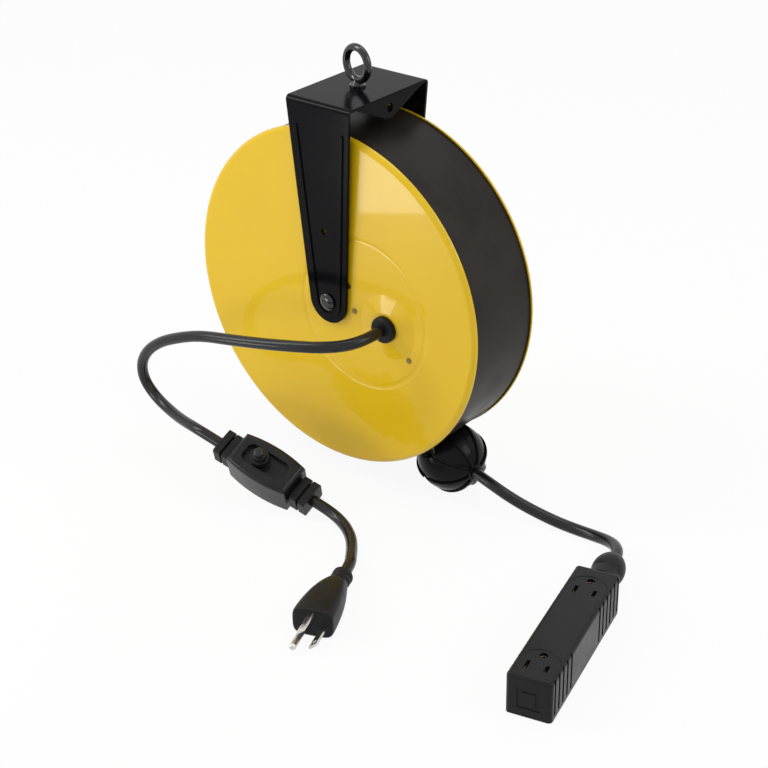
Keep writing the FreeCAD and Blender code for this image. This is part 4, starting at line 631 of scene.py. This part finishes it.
def collar(along: float, radius: float) -> Station:
    """A round section of the plug's cord end."""
    return Station(along, radius, radius, radius)


@dataclass
class Plug(SubAssembly):
    """The grounded plug, with its soft moulded grip.

    Attributes:
        finishes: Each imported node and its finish.
        stations: The moulding's sections, from the cord to the face.
        ring_points: How many points each section has.
        smoothing: How many times the moulding's faces are divided.
        prong_turn: How the blades and pin are turned round the plug's axis, in degrees.
        slots: The record's material slot of each piece.
        shown: The pieces made, by the node that each stands for.
    """

    finishes: dict[str, Finish] = field(default_factory=lambda: {
        "plug_body": RUBBER, "plug_blades": NICKEL, "ground_pin": NICKEL})
    stations: Sequence[Station] = (
        collar(0.0, 0.0050), collar(0.0002, 0.0068), collar(0.0008, 0.0073), collar(0.0034, 0.0073),
        collar(0.0040, 0.0065), collar(0.0048, 0.0065), collar(0.0054, 0.0072), collar(0.0078, 0.0072),
        collar(0.0084, 0.0064), collar(0.0096, 0.0064),
        Station(0.0112, 0.0072, 0.0070, 0.0076, 2.3), Station(0.0165, 0.0086, 0.0084, 0.0092, 2.8),
        Station(0.0240, 0.0106, 0.0095, 0.0106, 3.4), Station(0.0360, 0.0126, 0.0095, 0.0117, 4.0),
        Station(0.0480, 0.0139, 0.0095, 0.0120, 4.0), Station(0.0555, 0.0142, 0.0095, 0.0118, 4.0),
        Station(0.0574, 0.0140, 0.0093, 0.0116, 4.0), Station(0.0580, 0.0132, 0.0085, 0.0108, 4.0),
        Station(0.0580, 0.0080, 0.0050, 0.0060, 4.0))
    ring_points: int = 32
    smoothing: int = 2
    prong_turn: float = -97.0
    slots: dict[str, str] = field(default_factory=lambda: {
        "plug_body": "moulded_rubber", "plug_blades": "brass", "ground_pin": "brass"})
    shown: dict[str, bpy.types.Object] = field(default_factory=dict)

    def build(self, materials: dict[str, bpy.types.Material]) -> None:
        """Dress the plug and make its grip and prongs.

        Args:
            materials: Materials made so far, by name, which this adds to.
        """
        self.dress(materials)
        mount = next(row for row in frame["record"]["mounts"] if row["name"] == "plug_face")
        face = Vector(mount["pos_m"])
        ahead = Vector(mount["axis"]).normalized()
        self._grip(face, ahead, materials[RUBBER.name])
        turn = Matrix.Translation(face) @ Matrix.Rotation(math.radians(self.prong_turn), 4, ahead)
        turn = turn @ Matrix.Translation(-face)
        for node in ("plug_blades", "ground_pin"):
            mesh = frame["nodes"][node].data.copy()
            mesh.transform(turn)
            self._stand_for(node, mesh, materials[NICKEL.name])

    def _grip(self, face: Vector, ahead: Vector, material: bpy.types.Material) -> None:
        """Loft the moulded grip through its sections.

        Args:
            face: Middle of the plug's face.
            ahead: The way that the prongs point.
            material: The grip's material.
        """
        upward = Vector((0, 0, 1))
        across = upward.cross(ahead)
        start = face - ahead * self.stations[-1].along
        points = []
        for station in self.stations:
            points.extend(start + ahead * x + across * y + upward * z
                          for x, y, z in station.ring(self.ring_points))
        mesh = bpy.data.meshes.new("plug_grip")
        mesh.from_pydata([tuple(point) for point in points], [],
                         tube_faces(len(self.stations), self.ring_points))
        mesh.shade_smooth()
        grip = self._stand_for("plug_body", mesh, material)
        smooth = grip.modifiers.new("smooth", "SUBSURF")
        smooth.levels = smooth.render_levels = self.smoothing

    def _stand_for(self, node: str, mesh: bpy.types.Mesh, material: bpy.types.Material) -> bpy.types.Object:
        """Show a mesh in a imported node's place.

        Args:
            node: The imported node.
            mesh: What is shown.
            material: Its material.

        Returns:
            The new piece.
        """
        mesh.materials.clear()
        mesh.materials.append(material)
        piece = bpy.data.objects.new(f"{node}_shown", mesh)
        bpy.context.collection.objects.link(piece)
        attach(piece, "housing")
        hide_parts(node)
        self.shown[node] = piece
        log.info("made %s for %s", piece.name, node)
        return piece


class FarEnd(Enum):
    """What a cord runs into at its far end."""

    PLUG = "plug"
    CONNECTOR = "connector"
    FITTING = "fitting"


@dataclass(frozen=True)
class Cord:
    """One free cord.

    Attributes:
        node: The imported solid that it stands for, which is also its name.
        body: The body that it rides on.
        route: Its control points from the drum's axis, in metres.
        length: Its real length.
        far_end: What it ends in.
        carried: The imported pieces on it.
        diameter: Its thickness.
        section_steps: How finely its section is rounded.
        line_steps: How finely its line is divided.
    """

    node: str
    body: str
    route: Sequence[Point]
    length: float
    far_end: FarEnd
    carried: Sequence[str]
    diameter: float = CORD_DIAMETER
    section_steps: int = 8
    line_steps: int = 16

    def build(self, material: bpy.types.Material, stand_ins: dict[str, bpy.types.Object]) -> None:
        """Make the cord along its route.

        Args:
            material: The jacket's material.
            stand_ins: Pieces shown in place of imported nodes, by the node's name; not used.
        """
        curve = bpy.data.curves.new(f"{self.node}_line", "CURVE")
        curve.dimensions = "3D"
        curve.bevel_depth = self.diameter / 2
        curve.bevel_resolution = self.section_steps
        curve.resolution_u = self.line_steps
        curve.use_fill_caps = True
        spline = curve.splines.new("NURBS")
        spline.points.add(len(self.route) - 1)
        for point, (x, y, z) in zip(spline.points, self.route):
            point.co = (x, y, z + AXIS_HEIGHT, 1.0)
        spline.order_u = 3
        spline.use_endpoint_u = True
        piece = bpy.data.objects.new(f"{self.node}_flex", curve)
        bpy.context.collection.objects.link(piece)
        curve.materials.append(material)
        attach(piece, self.body)
        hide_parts(self.node)
        log.info("laid %s, %.3f m", self.node, self.length)


INLET_CORD = Cord("inlet_cord", "housing", (
    (0.052, -0.043, -0.0057), (0.0515, -0.057, -0.0062), (0.0455, -0.071, -0.0075),
    (0.032, -0.0815, -0.009), (0.011, -0.0885, -0.0115), (-0.014, -0.093, -0.0155),
    (-0.042, -0.096, -0.02), (-0.07, -0.097, -0.025), (-0.092, -0.0975, -0.033),
    (-0.113, -0.0975, -0.043), (-0.1295, -0.0968, -0.056), (-0.14, -0.0945, -0.0715),
    (-0.1415, -0.0915, -0.0875), (-0.1315, -0.09, -0.0995), (-0.115, -0.0925, -0.1038),
    (-0.0965, -0.0983, -0.1028), (-0.0738, -0.1045, -0.0999), (-0.0618, -0.1031, -0.1033),
    (-0.0508, -0.1018, -0.1064)),
    0.351, FarEnd.FITTING,
    ("breaker_bottom", "breaker_top", "breaker_screws", "breaker_grommets", "reset_button"))
LINK_CORD = Cord("link_cord", "housing", (
    (0.0276, -0.0924, -0.1285), (0.039, -0.091, -0.1317), (0.0505, -0.0916, -0.1346),
    (0.062, -0.0962, -0.1356), (0.073, -0.104, -0.1357), (0.0825, -0.1144, -0.1349),
    (0.0908, -0.125, -0.1326), (0.098, -0.1345, -0.1306), (0.1025, -0.1465, -0.1305)),
    0.102, FarEnd.PLUG, ("plug_body", "plug_blades", "ground_pin"))
OUTLET_CORD = Cord("outlet_cord", "pulled_cord", (
    (0.107, -0.005, -0.1181), (0.1188, -0.0073, -0.1192), (0.1318, -0.0078, -0.1226),
    (0.145, -0.0064, -0.127), (0.1595, -0.004, -0.131), (0.1745, -0.0012, -0.1344),
    (0.19, 0.0008, -0.1357), (0.2045, 0.0006, -0.1346), (0.2175, -0.0026, -0.1316),
    (0.2285, -0.0092, -0.128), (0.23755, -0.02057, -0.12525), (0.24065, -0.0332, -0.12525)),
    0.155, FarEnd.CONNECTOR,
    ("block_body", "block_base", "block_contacts", "block_screws", "block_strain_relief"))


# ---- studio ----


@dataclass(frozen=True)
class Camera:
    """The camera's place and aim.

    Attributes:
        place: Where it stands, in metres.
        yaw: Turn to the left of +Y, in degrees.
        pitch: Aim below the horizon, in degrees.
        roll: Turn about the view, in degrees.
        lens: Focal length, in millimetres.
        sensor: Width of the sensor, in millimetres.
        reach: How far it sees, in metres.
    """

    place: Point = (0.72516, -0.84389, 0.52540 + AXIS_HEIGHT)
    yaw: float = 39.949
    pitch: float = 28.686
    roll: float = -1.111
    lens: float = 79.69
    sensor: float = 36.0
    reach: float = 20.0

    def build(self) -> None:
        """Make the camera and make it the scene's."""
        yaw, pitch, roll = (math.radians(value) for value in (self.yaw, self.pitch, self.roll))
        ahead = Vector((-math.sin(yaw) * math.cos(pitch), math.cos(yaw) * math.cos(pitch),
                        -math.sin(pitch)))
        level = ahead.cross(Vector((0, 0, 1))).normalized()
        upright = level.cross(ahead)
        right = level * math.cos(roll) + upright * math.sin(roll)
        up = upright * math.cos(roll) - level * math.sin(roll)
        data = bpy.data.cameras.new("camera")
        data.lens = self.lens
        data.sensor_width = self.sensor
        data.clip_end = self.reach
        camera = bpy.data.objects.new("camera", data)
        bpy.context.collection.objects.link(camera)
        matrix = Matrix((right, up, -ahead)).transposed().to_4x4()
        matrix.translation = Vector(self.place)
        camera.matrix_world = matrix
        bpy.context.scene.camera = camera


@dataclass(frozen=True)
class Softbox:
    """One soft lamp.

    Attributes:
        name: Its name.
        place: Where it stands.
        target: What it points at.
        size: Width and height.
        power: Its power in watts.
    """

    name: str
    place: Point
    target: Point
    size: tuple[float, float]
    power: float

    def build(self) -> None:
        """Make the lamp."""
        data = bpy.data.lights.new(self.name, "AREA")
        data.shape = "RECTANGLE"
        data.size, data.size_y = self.size
        data.energy = self.power
        lamp = bpy.data.objects.new(self.name, data)
        bpy.context.collection.objects.link(lamp)
        lamp.location = self.place
        aim = Vector(self.target) - Vector(self.place)
        lamp.rotation_euler = aim.to_track_quat("-Z", "Y").to_euler()


@dataclass(frozen=True)
class Studio:
    """White room, floor and lamps.

    Attributes:
        floor_size: Width of the floor, in metres.
        floor_white: How much light the floor returns.
        floor_glow: Share of pure white that the camera and mirrors see in the floor.
        daylight: Strength of the room's light on matt surfaces.
        lamps: The soft lamps.
    """

    floor_size: float = 30.0
    floor_white: float = 0.86
    floor_glow: float = 0.92
    daylight: float = 0.55
    lamps: Sequence[Softbox] = (
        Softbox("key_strip", (-1.05, -0.88, 1.0), (0.0, -0.04, -0.17), (0.40, 1.40), 13.0),
        Softbox("side_softbox", (1.45, 0.35, 0.75), (0.0, 0.0, -0.17), (0.7, 0.9), 7.0),
        Softbox("top_softbox", (0.0, 0.35, 1.45), (0.0, 0.0, -0.17), (0.8, 0.6), 4.0),
        Softbox("low_card", (-0.23, -0.45, -0.24), (0.05, -0.04, -0.17), (0.15, 0.11), 0.38),
    )

    def build(self) -> None:
        """Make the room."""
        self._world()
        self._floor()
        for lamp in self.lamps:
            lamp.build()
        settings = bpy.context.scene.view_settings
        settings.view_transform = "Standard"
        log.info("studio lit by %d lamps", len(self.lamps))

    def _world(self) -> None:
        """White to the camera, in gloss and through glass, and softer as light."""
        world = bpy.data.worlds.new("white_room")
        bpy.context.scene.world = world
        world.use_nodes = True
        tree = world.node_tree
        back = tree.nodes["Background"]
        back.inputs["Color"].default_value = (1, 1, 1, 1)
        seen = ray_switch(tree, ("Is Camera Ray", "Is Glossy Ray", "Is Transmission Ray"))
        level = stretch(tree, seen, (0.0, 1.0))
        level.inputs["To Min"].default_value = self.daylight
        level.inputs["To Max"].default_value = 1.0
        tree.links.new(level.outputs["Result"], back.inputs["Strength"])

    def _floor(self) -> None:
        """A pale floor, nearly white to the camera, that takes a soft shadow."""
        half = self.floor_size / 2
        mesh = bpy.data.meshes.new("floor")
        mesh.from_pydata([(x, y, FLOOR_HEIGHT) for x, y in ((-half, -half), (half, -half),
                                                            (half, half), (-half, half))],
                         [], [(0, 1, 2, 3)])
        floor = bpy.data.objects.new("floor", mesh)
        bpy.context.collection.objects.link(floor)
        material = bpy.data.materials.new("floor_white")
        material.use_nodes = True
        tree = material.node_tree
        tree.nodes.remove(tree.nodes["Principled BSDF"])
        matt = tree.nodes.new("ShaderNodeBsdfDiffuse")
        matt.inputs["Color"].default_value = (self.floor_white, self.floor_white, self.floor_white, 1)
        glow = tree.nodes.new("ShaderNodeEmission")
        glow.inputs["Strength"].default_value = 1.0
        seen = ray_switch(tree, ("Is Camera Ray", "Is Glossy Ray"))
        blend = tree.nodes.new("ShaderNodeMixShader")
        tree.links.new(math_value(tree, "MULTIPLY", seen, self.floor_glow), blend.inputs["Fac"])
        tree.links.new(matt.outputs["BSDF"], blend.inputs[1])
        tree.links.new(glow.outputs["Emission"], blend.inputs[2])
        tree.links.new(blend.outputs["Shader"], tree.nodes["Material Output"].inputs["Surface"])
        mesh.materials.append(material)


def main() -> None:
    """Build the scene."""
    logging.basicConfig(level=logging.INFO, format="%(name)s: %(message)s")
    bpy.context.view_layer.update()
    Camera().build()
    materials: dict[str, bpy.types.Material] = {JACKET.name: JACKET.build()}
    plug = Plug()
    plug.build(materials)
    for cord in (INLET_CORD, LINK_CORD, OUTLET_CORD):
        cord.build(materials[JACKET.name], plug.shown)
    for assembly in (Housing(), Hanger(), Spool(), BallStop(), OutletBlock(), Breaker()):
        assembly.build(materials)
    Studio().build()


if __name__ == "__main__":
    main()
